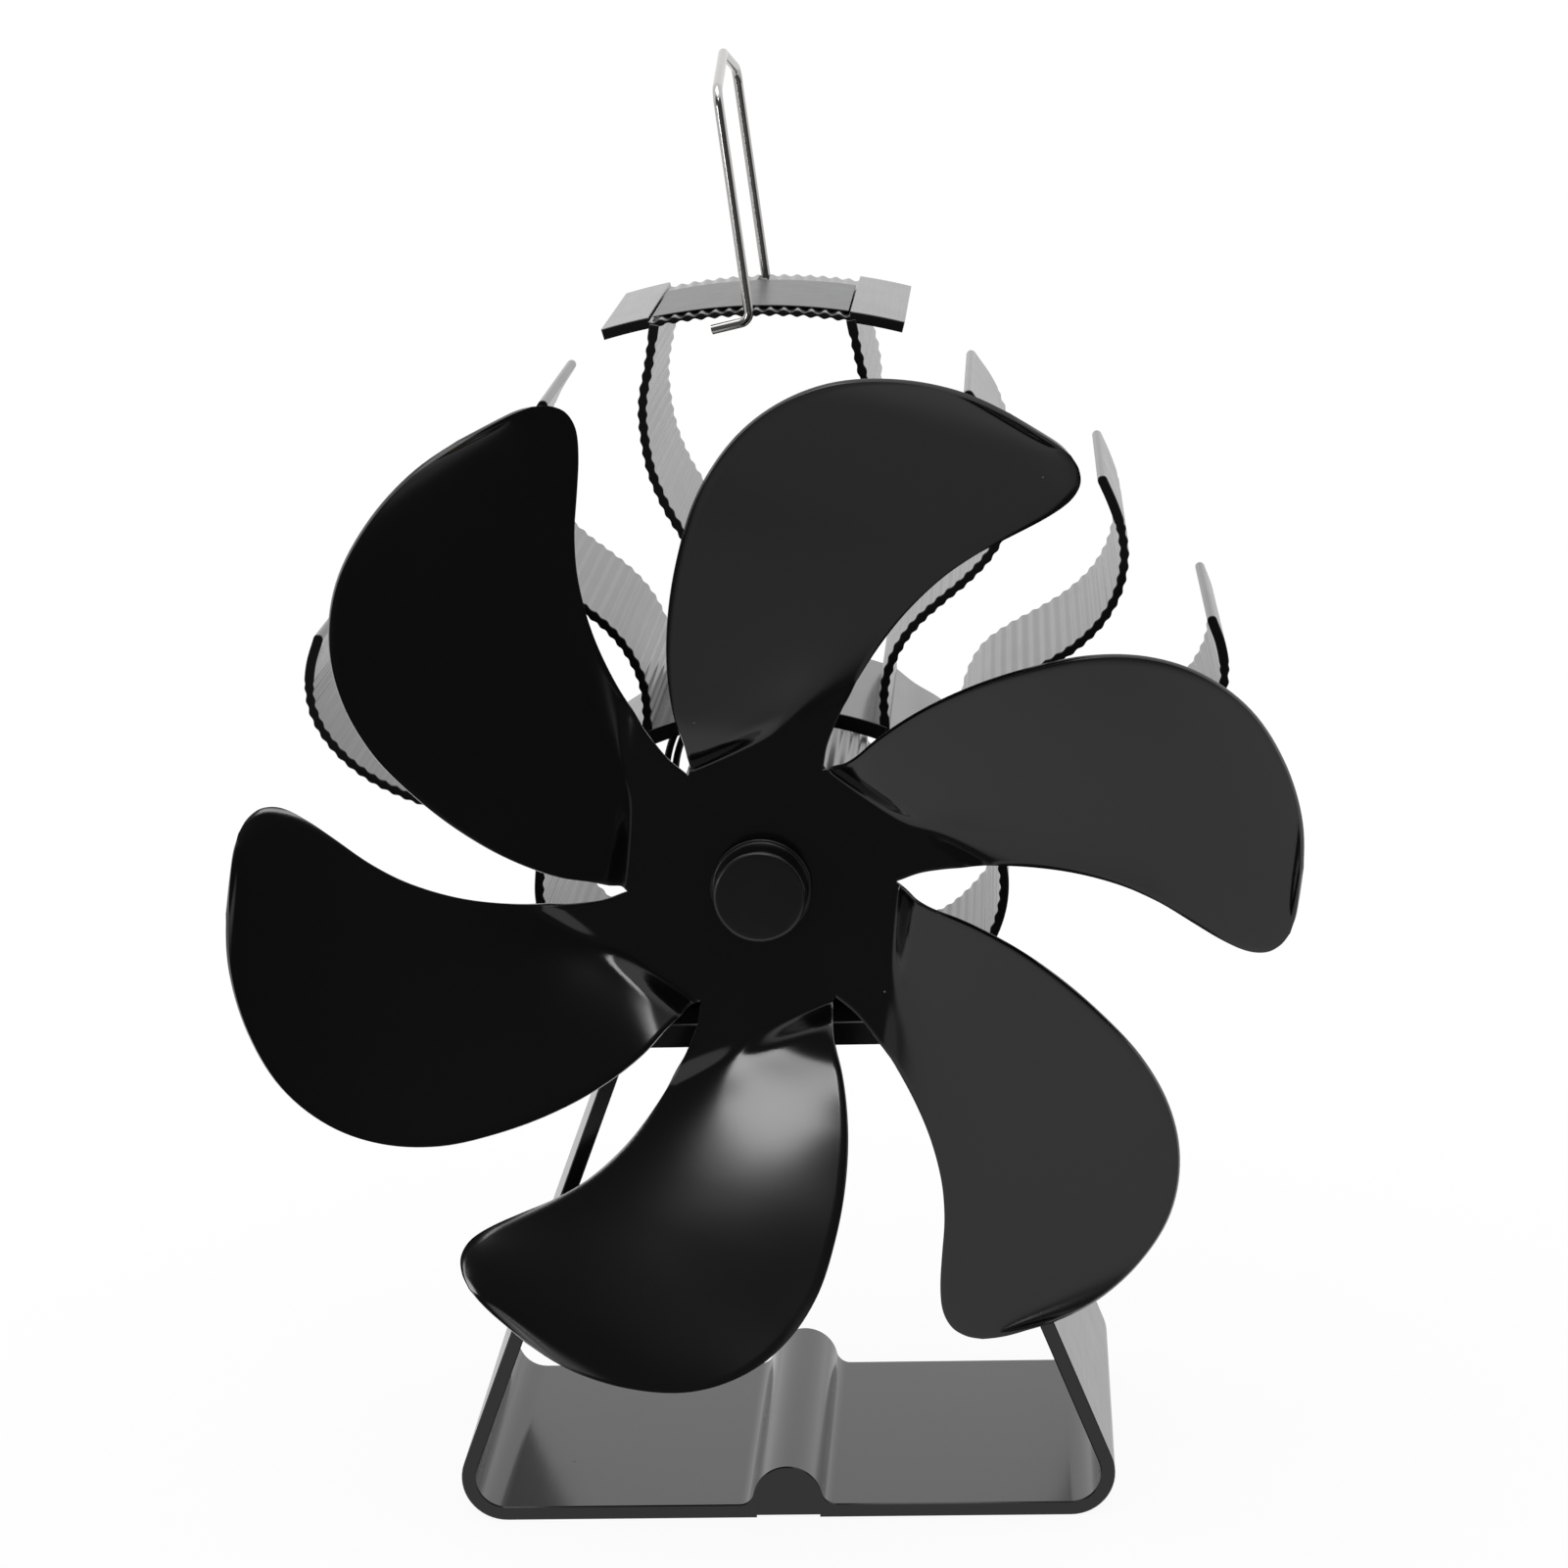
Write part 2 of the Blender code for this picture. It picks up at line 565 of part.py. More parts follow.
def stand_window_loop():
    """Opening of the stand: leaning sides, a flat top and the floor with its ridge."""
    radius = STAND_CORNER_RADIUS - STAND_WALL
    corner = (STAND_HALF_WIDTH - STAND_CORNER_RADIUS, STAND_CORNER_RADIUS)
    floor = STAND_WALL
    fillet_z = floor + RIDGE_FILLET
    reach = RIDGE_RADIUS + RIDGE_FILLET
    fillet_x = math.sqrt(reach ** 2 - (fillet_z - RIDGE_CENTRE_HEIGHT) ** 2)
    slope = math.atan2(fillet_z - RIDGE_CENTRE_HEIGHT, fillet_x)
    right = arc((0, RIDGE_CENTRE_HEIGHT), RIDGE_RADIUS, QUARTER_TURN, slope, ARC_STEPS)[1:]
    right += arc((fillet_x, fillet_z), RIDGE_FILLET, slope + math.pi, 3 * QUARTER_TURN, ARC_STEPS // 2)[1:]
    right += arc(corner, radius, -QUARTER_TURN, STAND_LEAN)
    top_x = stand_side(WINDOW_TOP, STAND_WALL)
    top = (top_x - WINDOW_CORNER_RADIUS, WINDOW_TOP - WINDOW_CORNER_RADIUS)
    right += arc(top, WINDOW_CORNER_RADIUS, STAND_LEAN, QUARTER_TURN, ARC_STEPS // 2)
    crown = [(0, RIDGE_CENTRE_HEIGHT + RIDGE_RADIUS)]
    return crown + right + mirrored(reversed(right), -1)


def make_stand():
    mesh = outline_mesh([stand_outer_loop(), stand_window_loop()], STAND_FRONT, STAND_BACK)
    stand = add_piece("base_frame", mesh, BLACK_ANODISED)
    half = POCKET_SIDE / 2
    cutters = [box_mesh((-half, SINK_MIDDLE - half, STACK_BOTTOM), (half, SINK_MIDDLE + half, BLOCK_TOP + OVERRUN))]
    for side in (-1, 1):
        x = side * CLAMP_SPACING / 2
        bore = CLAMP_SHANK_RADIUS + GAP + BUSH_WALL + GAP
        cutters.append(rod_mesh(bore, (x, SINK_MIDDLE, WINDOW_TOP - OVERRUN), (x, SINK_MIDDLE, BLOCK_TOP + OVERRUN)))
    cut(stand, *cutters)


def make_module():
    """Module between two graphite pads, in the pocket that the stand and the sink share."""
    half = MODULE_SIDE / 2
    level = STACK_BOTTOM
    layers = (("thermal_pad_lower", PAD_THICKNESS, GRAPHITE), ("thermoelectric_module", MODULE_THICKNESS, CERAMIC),
              ("thermal_pad_upper", PAD_THICKNESS, GRAPHITE))
    for name, thickness, material in layers:
        level += THERMAL_GAP
        mesh = box_mesh((-half, SINK_MIDDLE - half, level), (half, SINK_MIDDLE + half, level + thickness))
        add_piece(name, mesh, material)
        level += thickness


def make_clamps():
    """Two screws from below, each with a spring washer and an insulating bush."""
    for side, word in ((-1, "left"), (1, "right")):
        x = side * CLAMP_SPACING / 2
        bore = CLAMP_SHANK_RADIUS + GAP
        flange_top = WINDOW_TOP - GAP
        barrel = BLOCK_TOP - flange_top
        turned(f"insulating_bush_{word}",
               ((bore + BUSH_WALL, 0), (bore + BUSH_WALL, barrel), (BUSH_FLANGE_RADIUS, barrel),
                (BUSH_FLANGE_RADIUS, barrel + BUSH_FLANGE_THICKNESS), (bore, barrel + BUSH_FLANGE_THICKNESS),
                (bore, 0)),
               (x, SINK_MIDDLE, BLOCK_TOP), NYLON, SMALL_STEPS, axis="Z")
        washer_top = flange_top - BUSH_FLANGE_THICKNESS - GAP
        turned(f"spring_washer_{word}",
               ((WASHER_RADIUS, 0), (WASHER_RADIUS, WASHER_THICKNESS), (bore, WASHER_THICKNESS), (bore, 0)),
               (x, SINK_MIDDLE, washer_top), ZINC, SMALL_STEPS, axis="Z")
        head_top = washer_top - WASHER_THICKNESS - GAP
        tip = FOOT_BOTTOM + CLAMP_THREAD_LENGTH
        shank = tip - head_top
        screw = turned(f"clamp_screw_{word}",
                       ((0, 0), (CLAMP_SHANK_RADIUS, 0), (CLAMP_SHANK_RADIUS, shank), (CLAMP_HEAD_RADIUS, shank),
                        (CLAMP_HEAD_RADIUS, shank + CLAMP_HEAD_HEIGHT), (0, shank + CLAMP_HEAD_HEIGHT)),
                       (x, SINK_MIDDLE, tip), ZINC, SMALL_STEPS, closed=False, axis="Z")
        bottom = head_top - CLAMP_HEAD_HEIGHT
        reach = CLAMP_HEAD_RADIUS + OVERRUN
        cut(screw, box_mesh((x - reach, SINK_MIDDLE - CLAMP_SLOT_WIDTH / 2, bottom - OVERRUN),
                            (x + reach, SINK_MIDDLE + CLAMP_SLOT_WIDTH / 2, bottom + CLAMP_SLOT_DEPTH)))


def sink_loops():
    """Outlines of the sink's members, each overlapping the member that carries it."""
    loops = []
    arch_radius = (ARCH_HALF_WIDTH ** 2 + ARCH_RISE ** 2) / (2 * ARCH_RISE)
    arch_centre = (0, ARCH_TOP - arch_radius - (ARCH_THICKNESS - FIN_THICKNESS) / 2)
    opening = math.asin(ARCH_HALF_WIDTH / arch_radius)
    bow = [Vector(p) for p in arc(arch_centre, arch_radius, QUARTER_TURN + opening, QUARTER_TURN - opening, 3 * ARC_STEPS)]
    loops.append(strip_loop(bow, ARCH_THICKNESS, left_ribs=False, right_ribs=False))
    floor_z = FOOT_BOTTOM + FIN_THICKNESS / 2
    for side in (-1, 1):
        shoulder = route((ARCH_HALF_WIDTH, ARCH_END_HEIGHT), (WAIST_HALF_WIDTH, WAIST_HEIGHT), SHOULDER_SHARES)
        bowl = route((WAIST_HALF_WIDTH, WAIST_HEIGHT), (FOOT_HALF_WIDTH, floor_z), BOWL_SHARES)
        post_top = plate_height(POST_TOP_HALF_WIDTH) - PLATE_THICKNESS / 4
        post = route((POST_ROOT_HALF_WIDTH, ARCH_TOP - FIN_THICKNESS / 4), (POST_TOP_HALF_WIDTH, post_top), POST_SHARES)
        fin_b = route((ARCH_HALF_WIDTH, ARCH_END_HEIGHT), (FIN_B_TIP_X, FIN_B_TIP_Z), FIN_B_SHARES)
        fin_c = route(point_at(shoulder, FIN_C_ROOT_SHARE), (FIN_C_TIP_X, FIN_C_TIP_Z), FIN_C_SHARES)
        fin_d = route((WAIST_HALF_WIDTH, WAIST_HEIGHT), (FIN_D_TIP_X, FIN_D_TIP_Z), FIN_D_SHARES)
        root = {"smooth_start": FIN_SMOOTH_ROOT}
        body = shoulder + bowl[1:]
        loops.append(mirrored(strip_loop(body, FIN_THICKNESS, left_ribs=False, smooth_end=FIN_SMOOTH_ROOT, **root), side))
        loops.append(mirrored(strip_loop(post, FIN_THICKNESS, smooth_end=FIN_SMOOTH_ROOT, **root), side))
        for fin in (fin_b, fin_c, fin_d):
            loops.append(mirrored(strip_loop(fin, FIN_THICKNESS, smooth_end=FIN_SMOOTH_TIP, round_end=True, **root), side))
    plate = [Vector((x, plate_height(x))) for x in spread(-PLATE_HALF_WIDTH, PLATE_HALF_WIDTH, 4 * ARC_STEPS)]
    plain_end = PLATE_HALF_WIDTH - PLATE_RIBBED_HALF_WIDTH
    loops.append(strip_loop(plate, PLATE_THICKNESS, smooth_start=plain_end, smooth_end=plain_end))
    foot_top = FOOT_BOTTOM + FOOT_HEIGHT
    loops.append([(-FOOT_HALF_WIDTH, FOOT_BOTTOM), (FOOT_HALF_WIDTH, FOOT_BOTTOM), (FOOT_HALF_WIDTH, foot_top),
                  (-FOOT_HALF_WIDTH, foot_top)])
    stem_top = SHAFT_HEIGHT - TUBE_BORE_RADIUS - TUBE_WALL / 2
    stem_bottom = FOOT_BOTTOM + FOOT_HEIGHT / 2
    loops.append([(-STEM_HALF_WIDTH, stem_bottom), (STEM_HALF_WIDTH, stem_bottom), (STEM_HALF_WIDTH, stem_top),
                  (-STEM_HALF_WIDTH, stem_top)])
    return loops


def spread(low, high, steps):
    return [low + (high - low) * i / steps for i in range(steps + 1)]


def tube_loops():
    """Motor tube: a round bore in a ribbed outside."""
    outer = []
    for i in range(2 * TUBE_RIBS):
        angle = FULL_TURN * i / (2 * TUBE_RIBS)
        radius = TUBE_RADIUS + (TUBE_RIB_DEPTH if i % 2 else 0)
        outer.append((radius * math.cos(angle), SHAFT_HEIGHT + radius * math.sin(angle)))
    bore = arc((0, SHAFT_HEIGHT), TUBE_BORE_RADIUS, 0, FULL_TURN, FINE_STEPS)[:-1]
    return [outer, bore]


def make_heat_sink():
    sink = add_piece("heat_sink", outline_mesh(tube_loops(), SINK_FRONT, SINK_BACK), BLACK_ANODISED)
    for loop in sink_loops():
        member = add_object("sink_member", outline_mesh([loop], SINK_FRONT, SINK_BACK), SINK_MEMBERS)
        member.hide_render = True
        member.display_type = "WIRE"
    join = sink.modifiers.new("join", "BOOLEAN")
    join.operation = "UNION"
    join.solver = "EXACT"
    join.operand_type = "COLLECTION"
    join.collection = SINK_MEMBERS
    half = POCKET_SIDE / 2
    cutters = [
        box_mesh((-half, SINK_MIDDLE - half, FOOT_BOTTOM - OVERRUN), (half, SINK_MIDDLE + half, STACK_TOP)),
        box_mesh((CHANNEL_X - CHANNEL_HALF_WIDTH, SINK_MIDDLE, FOOT_BOTTOM - OVERRUN),
                 (CHANNEL_X + CHANNEL_HALF_WIDTH, SINK_BACK + OVERRUN, FOOT_BOTTOM + CHANNEL_HEIGHT)),
    ]
    for side in (-1, 1):
        x = side * CLAMP_SPACING / 2
        top = FOOT_BOTTOM + CLAMP_THREAD_LENGTH + GAP
        cutters.append(rod_mesh(CLAMP_SHANK_RADIUS + GAP, (x, SINK_MIDDLE, FOOT_BOTTOM - OVERRUN), (x, SINK_MIDDLE, top)))
    cut(sink, *cutters)


def make_label():
    """Bare nameplate that lies on the ribs of the top plate and follows their curve."""
    rise = PLATE_THICKNESS / 2 + GAP + LABEL_THICKNESS / 2
    middle = [Vector((x, plate_height(x) + rise)) for x in spread(-LABEL_HALF_WIDTH, LABEL_HALF_WIDTH, 2 * ARC_STEPS)]
    below = [(p.x, p.y - LABEL_THICKNESS / 2) for p in middle]
    above = [(p.x, p.y + LABEL_THICKNESS / 2) for p in reversed(middle)]
    front = SINK_FRONT + LABEL_SETBACK
    add_piece("nameplate", outline_mesh([below + above], front, front + LABEL_DEPTH), LABEL_GREY)


def make_motor_case():
    inner = CAN_RADIUS - CAN_WALL
    bore = BUSH_RADIUS + GAP
    axis_at = (0, CAN_FRONT, SHAFT_HEIGHT)
    turned("motor_can",
           ((bore, -CAN_BOSS_LENGTH), (CAN_BOSS_RADIUS, -CAN_BOSS_LENGTH), (CAN_BOSS_RADIUS, 0), (CAN_RADIUS, 0),
            (CAN_RADIUS, CAN_LENGTH), (inner, CAN_LENGTH), (inner, CAN_WALL), (bore, CAN_WALL)),
           axis_at, ZINC, FINE_STEPS)
    ring("motor_sleeve", TUBE_BORE_RADIUS - GAP, CAN_RADIUS + GAP, SLEEVE_LENGTH, CAN_FRONT + CAN_WALL,
         BLACK_RUBBER, FINE_STEPS)
    cap = ring("motor_end_cap", inner - GAP, bore, END_CAP_THICKNESS, END_CAP_FRONT, BLACK_PLASTIC)
    slots = []
    for side in (-1, 1):
        x = side * TERMINAL_SPACING / 2
        reach_x = TERMINAL_THICKNESS / 2 + GAP
        reach_z = TERMINAL_WIDTH / 2 + GAP
        slots.append(box_mesh((x - reach_x, END_CAP_FRONT - OVERRUN, SHAFT_HEIGHT - reach_z),
                              (x + reach_x, END_CAP_BACK + OVERRUN, SHAFT_HEIGHT + reach_z)))
    cut(cap, *slots)
    ring("front_bush", BUSH_RADIUS, SHAFT_BORE, FRONT_BUSH_LENGTH, CAN_FRONT - CAN_BOSS_LENGTH, BRONZE)
    ring("rear_bush", BUSH_RADIUS, SHAFT_BORE, REAR_BUSH_LENGTH, END_CAP_FRONT, BRONZE)


def make_magnets():
    front = CORE_FRONT - (MAGNET_LENGTH - CORE_LENGTH) / 2
    for middle, word in ((math.pi, "left"), (0, "right")):
        low = middle - MAGNET_HALF_ANGLE
        high = middle + MAGNET_HALF_ANGLE
        centre = (0, SHAFT_HEIGHT)
        loop = arc(centre, MAGNET_OUTER, low, high, 2 * ARC_STEPS)
        loop += arc(centre, MAGNET_INNER, high, low, 2 * ARC_STEPS)
        add_piece(f"magnet_{word}", outline_mesh([loop], front, front + MAGNET_LENGTH), FERRITE)


def core_loop():
    """Outline of the armature's laminations: a hub with a neck and a shoe for each pole."""
    half_neck = POLE_NECK_WIDTH / 2
    shoe_inner = CORE_RADIUS - POLE_SHOE_THICKNESS
    neck_at_hub = math.asin(half_neck / CORE_HUB_RADIUS)
    neck_at_shoe = math.asin(half_neck / shoe_inner)
    loop = []
    for pole in range(POLE_COUNT):
        middle = QUARTER_TURN + FULL_TURN * pole / POLE_COUNT
        centre = (0, SHAFT_HEIGHT)
        loop += arc(centre, shoe_inner, middle - neck_at_shoe, middle - POLE_HALF_ANGLE, 2)
        loop += arc(centre, CORE_RADIUS, middle - POLE_HALF_ANGLE, middle + POLE_HALF_ANGLE, 2 * ARC_STEPS)
        loop += arc(centre, shoe_inner, middle + POLE_HALF_ANGLE, middle + neck_at_shoe, 2)
        after = middle + FULL_TURN / POLE_COUNT
        loop += arc(centre, CORE_HUB_RADIUS, middle + neck_at_hub, after - neck_at_hub, 2)
    return loop


def make_armature():
    """Shaft, laminated core, three windings and the commutator."""
    shaft_front = SPIGOT_FRONT - GAP
    shaft_length = END_CAP_BACK - shaft_front
    turned("motor_shaft", ((0, 0), (SHAFT_RADIUS, 0), (SHAFT_RADIUS, shaft_length), (0, shaft_length)),
           (0, shaft_front, SHAFT_HEIGHT), STAINLESS, PLAIN_STEPS, closed=False)
    bore = arc((0, SHAFT_HEIGHT), SHAFT_BORE, 0, FULL_TURN, SMALL_STEPS)[:-1]
    add_piece("armature_core", outline_mesh([core_loop(), bore], CORE_FRONT, CORE_BACK), ZINC)
    half_hole = POLE_NECK_WIDTH / 2 + GAP
    half_wide = half_hole + WINDING_THICKNESS
    inner = CORE_HUB_RADIUS + GAP
    outer = math.sqrt((CORE_RADIUS - POLE_SHOE_THICKNESS) ** 2 - half_wide ** 2) - 2 * GAP
    for pole in range(POLE_COUNT):
        winding = add_piece(f"winding_{pole + 1}", box_mesh(
            (-half_wide, CORE_FRONT - GAP - WINDING_THICKNESS, inner),
            (half_wide, CORE_BACK + GAP + WINDING_THICKNESS, outer)), COPPER)
        cut(winding, box_mesh((-half_hole, CORE_FRONT - GAP, inner - OVERRUN),
                              (half_hole, CORE_BACK + GAP, outer + OVERRUN)))
        turn = Matrix.Rotation(-FULL_TURN * pole / POLE_COUNT, 4, "Y")
        place = Matrix.Translation((0, 0, SHAFT_HEIGHT)) @ turn
        winding.matrix_world = place
        winding.modifiers[-1].object.matrix_world = place
    front = CORE_BACK + 2 * GAP + WINDING_THICKNESS
    ring("commutator", COMMUTATOR_RADIUS, SHAFT_BORE, COMMUTATOR_LENGTH, front, COPPER, SMALL_STEPS)
    return front


def make_terminals(commutator_front):
    """Each terminal passes through the end cap, and its brush bears on the commutator."""
    brush_length = BRUSH_LENGTH_SHARE * COMMUTATOR_LENGTH
    for side, word in ((-1, "left"), (1, "right")):
        x = side * TERMINAL_SPACING / 2
        add_piece(f"terminal_{word}", box_mesh(
            (x - TERMINAL_THICKNESS / 2, END_CAP_FRONT - TERMINAL_TAIL, SHAFT_HEIGHT - TERMINAL_WIDTH / 2),
            (x + TERMINAL_THICKNESS / 2, END_CAP_BACK + TERMINAL_REACH, SHAFT_HEIGHT + TERMINAL_WIDTH / 2)), BRASS)
        near = COMMUTATOR_RADIUS + GAP
        far = TERMINAL_SPACING / 2 - TERMINAL_THICKNESS / 2 - GAP
        low_x, high_x = sorted((side * near, side * far))
        front = commutator_front + (COMMUTATOR_LENGTH - brush_length) / 2
        add_piece(f"brush_{word}", box_mesh(
            (low_x, front, SHAFT_HEIGHT - BRUSH_THICKNESS), (high_x, front + brush_length, SHAFT_HEIGHT + BRUSH_THICKNESS)),
            COPPER)


def wire(name, points, radius, material, resolution=2):
    """Round wire along points, as a curve with closed ends."""
    curve = bpy.data.curves.new(name, "CURVE")
    curve.dimensions = "3D"
    curve.bevel_depth = radius
    curve.bevel_resolution = resolution
    curve.use_fill_caps = True
    spline = curve.splines.new("POLY")
    spline.points.add(len(points) - 1)
    for target, point in zip(spline.points, points):
        target.co = (*point, 1)
    mesh = mesh_from_curve(add_object(name, curve, CUTTERS))
    return add_piece(name, mesh, material)


def rounded(corners, steps=ARC_STEPS):
    """Points along straight runs, with each inner corner (place, radius) turned into an arc."""
    points = [Vector(corners[0][0])]
    for (before, _), (corner, radius), (after, _) in zip(corners, corners[1:], corners[2:]):
        corner = Vector(corner)
        to_start = (Vector(before) - corner).normalized()
        to_end = (Vector(after) - corner).normalized()
        half = to_start.angle(to_end) / 2
        setback = radius / math.tan(half)
        centre = corner + (to_start + to_end).normalized() * (radius / math.sin(half))
        first = corner + to_start * setback - centre
        last = corner + to_end * setback - centre
        for i in range(steps + 1):
            points.append(centre + first.normalized().slerp(last.normalized(), i / steps) * radius)
    points.append(Vector(corners[-1][0]))
    return points


def make_handle():
    """Bent wire with one hook in front of the top plate and one behind it."""
    front = SINK_FRONT - GAP - WIRE_RADIUS
    back = SINK_BACK + GAP + WIRE_RADIUS
    middle = (front + back) / 2
    corners = (
        ((-HOOK_LENGTH, front + HOOK_REACH, -HOOK_DROP), 0),
        ((0, front, 0), HANDLE_HOOK_RADIUS),
        ((0, front, HANDLE_SHOULDER), HANDLE_BEND_RADIUS),
        ((0, middle, HANDLE_APEX), HANDLE_APEX_RADIUS),
        ((0, back, HANDLE_SHOULDER), HANDLE_BEND_RADIUS),
        ((0, back, 0), HANDLE_HOOK_RADIUS),
        ((-HOOK_LENGTH, back - HOOK_REACH, -HOOK_DROP), 0),
    )
    lean = Matrix.Rotation(-HANDLE_LEAN, 3, "Y")
    pivot = Vector((HANDLE_PIVOT_X, 0, HANDLE_PIVOT_Z))
    wire("carry_handle", [lean @ point + pivot for point in rounded(corners)], WIRE_RADIUS, STAINLESS)


def make_leads():
    """Two leads from the module's rear edge, up the motor tube's left side. One goes on over its top."""
    start_y = SINK_MIDDLE + MODULE_SIDE / 2 + GAP
    rear = SINK_BACK + LEAD_SETBACK
    level = BLOCK_TOP + GAP + LEAD_RADIUS
    terminal_end = END_CAP_BACK + TERMINAL_REACH + GAP
    # The outer lead leaves the channel on its left side and ends at the right terminal
    for word, side, route_degrees in (("right", 1, LEAD_OUTER_DEGREES), ("left", -1, LEAD_INNER_DEGREES)):
        x = CHANNEL_X - side * LEAD_SPACING / 2
        start_radius = LEAD_BULGE_RADIUS + (LEAD_SPACING if side > 0 else 0)
        end_radius = LEAD_TURN_RADIUS if side > 0 else start_radius
        places = [(x, start_y, level), (x, (start_y + SINK_BACK) / 2, level), (x, SINK_BACK, level)]
        places.append((x - LEAD_SPACING / 2, rear, level + LEAD_SPACING * (1 if side > 0 else 2)))
        for degrees in route_degrees:
            angle = math.radians(degrees)
            past_top = max(0, (QUARTER_TURN - angle) / (QUARTER_TURN - math.radians(route_degrees[-1])))
            bulge = start_radius + (end_radius - start_radius) * past_top
            places.append((bulge * math.cos(angle), rear, SHAFT_HEIGHT + bulge * math.sin(angle)))
        end_x = side * TERMINAL_SPACING / 2
        entry = (end_x, rear, SHAFT_HEIGHT + LEAD_DIP_HEIGHT)
        places.append(Vector(places[-1]).lerp(Vector(entry), LEAD_TURN_SHARE))
        places.append(entry)
        places.append((end_x, (rear + terminal_end) / 2, SHAFT_HEIGHT + LEAD_RADIUS))
        places.append((end_x, terminal_end, SHAFT_HEIGHT))
        wire(f"motor_lead_{word}", catmull(places, ROUTE_STEPS // 3), LEAD_RADIUS, BLACK_RUBBER, 1)


def edge_point(share, rake, turn):
    """Point on a blade's edge, from its radius share, its degrees and its depth share."""
    radius, degrees, depth = share
    angle = math.radians(degrees) + turn
    reach = radius * BLADE_TIP_RADIUS
    return Vector((reach * math.cos(angle), rake * depth, reach * math.sin(angle)))


def blade_rows(turn):
    """Rows of points across one blade, from the hub to the tip."""
    rows = []
    outer_shares = catmull(OUTER_EDGE_SHARES, BLADE_STEPS)
    inner_shares = catmull(INNER_EDGE_SHARES, BLADE_STEPS)
    last = len(outer_shares) - 1
    for number, (outer_share, inner_share) in enumerate(zip(outer_shares, inner_shares)):
        outer = edge_point(outer_share, -BLADE_RAKE_FRONT, turn)
        inner = edge_point(inner_share, BLADE_RAKE_BACK, turn)
        bow = BLADE_BOW_SHARES[0] + (BLADE_BOW_SHARES[1] - BLADE_BOW_SHARES[0]) * number / last
        row = []
        for column in range(BLADE_COLUMNS + 1):
            t = column / BLADE_COLUMNS
            point = outer.lerp(inner, t)
            point.y = outer.y * (1 - t) ** bow + inner.y * t
            row.append(point)
        rows.append(row)
    return rows


def make_blades():
    """Pressed sheet: a flat hub with six blades, each turned out of the hub's plane."""
    form = bmesh.new()
    turns = [BLADE_START_ANGLE - FULL_TURN * i / BLADE_COUNT for i in range(BLADE_COUNT)]
    rim = []
    roots = []
    for turn in turns:
        root = [form.verts.new(point) for point in blade_rows(turn)[0][:-1]]
        roots.append(root)
        rim += root
    rings = [rim]
    for share in (*HUB_RINGS_SHARES, SHEET_BORE_RADIUS / rim[0].co.length):
        inner_ring = []
        for vertex in rim:
            way = vertex.co.normalized()
            reach = vertex.co.length * share if share in HUB_RINGS_SHARES else SHEET_BORE_RADIUS
            inner_ring.append(form.verts.new(way * reach))
        rings.append(inner_ring)
    for outside, inside in zip(rings, rings[1:]):
        for i in range(len(rim)):
            j = (i + 1) % len(rim)
            form.faces.new((outside[i], outside[j], inside[j], inside[i]))
    for number, turn in enumerate(turns):
        rows = blade_rows(turn)
        below = roots[number] + [roots[(number + 1) % BLADE_COUNT][0]]
        for row in rows[1:]:
            above = [form.verts.new(point) for point in row]
            for i in range(BLADE_COLUMNS):
                form.faces.new((below[i], above[i], above[i + 1], below[i + 1]))
            below = above
        tip = form.verts.new(edge_point(TIP_SHARE, BLADE_RAKE_BACK, turn))
        for i in range(BLADE_COLUMNS):
            form.faces.new((below[i], tip, below[i + 1]))
    bmesh.ops.recalc_face_normals(form, faces=form.faces)
    mesh = bpy.data.meshes.new("fan_blades")
    form.to_mesh(mesh)
    form.free()
    blades = add_piece("fan_blades", mesh, BLACK_PAINT)
    blades.location = (0, SHEET_Y, SHAFT_HEIGHT)
    solidify = blades.modifiers.new("sheet", "SOLIDIFY")
    solidify.thickness = SHEET_THICKNESS
    solidify.offset = 0


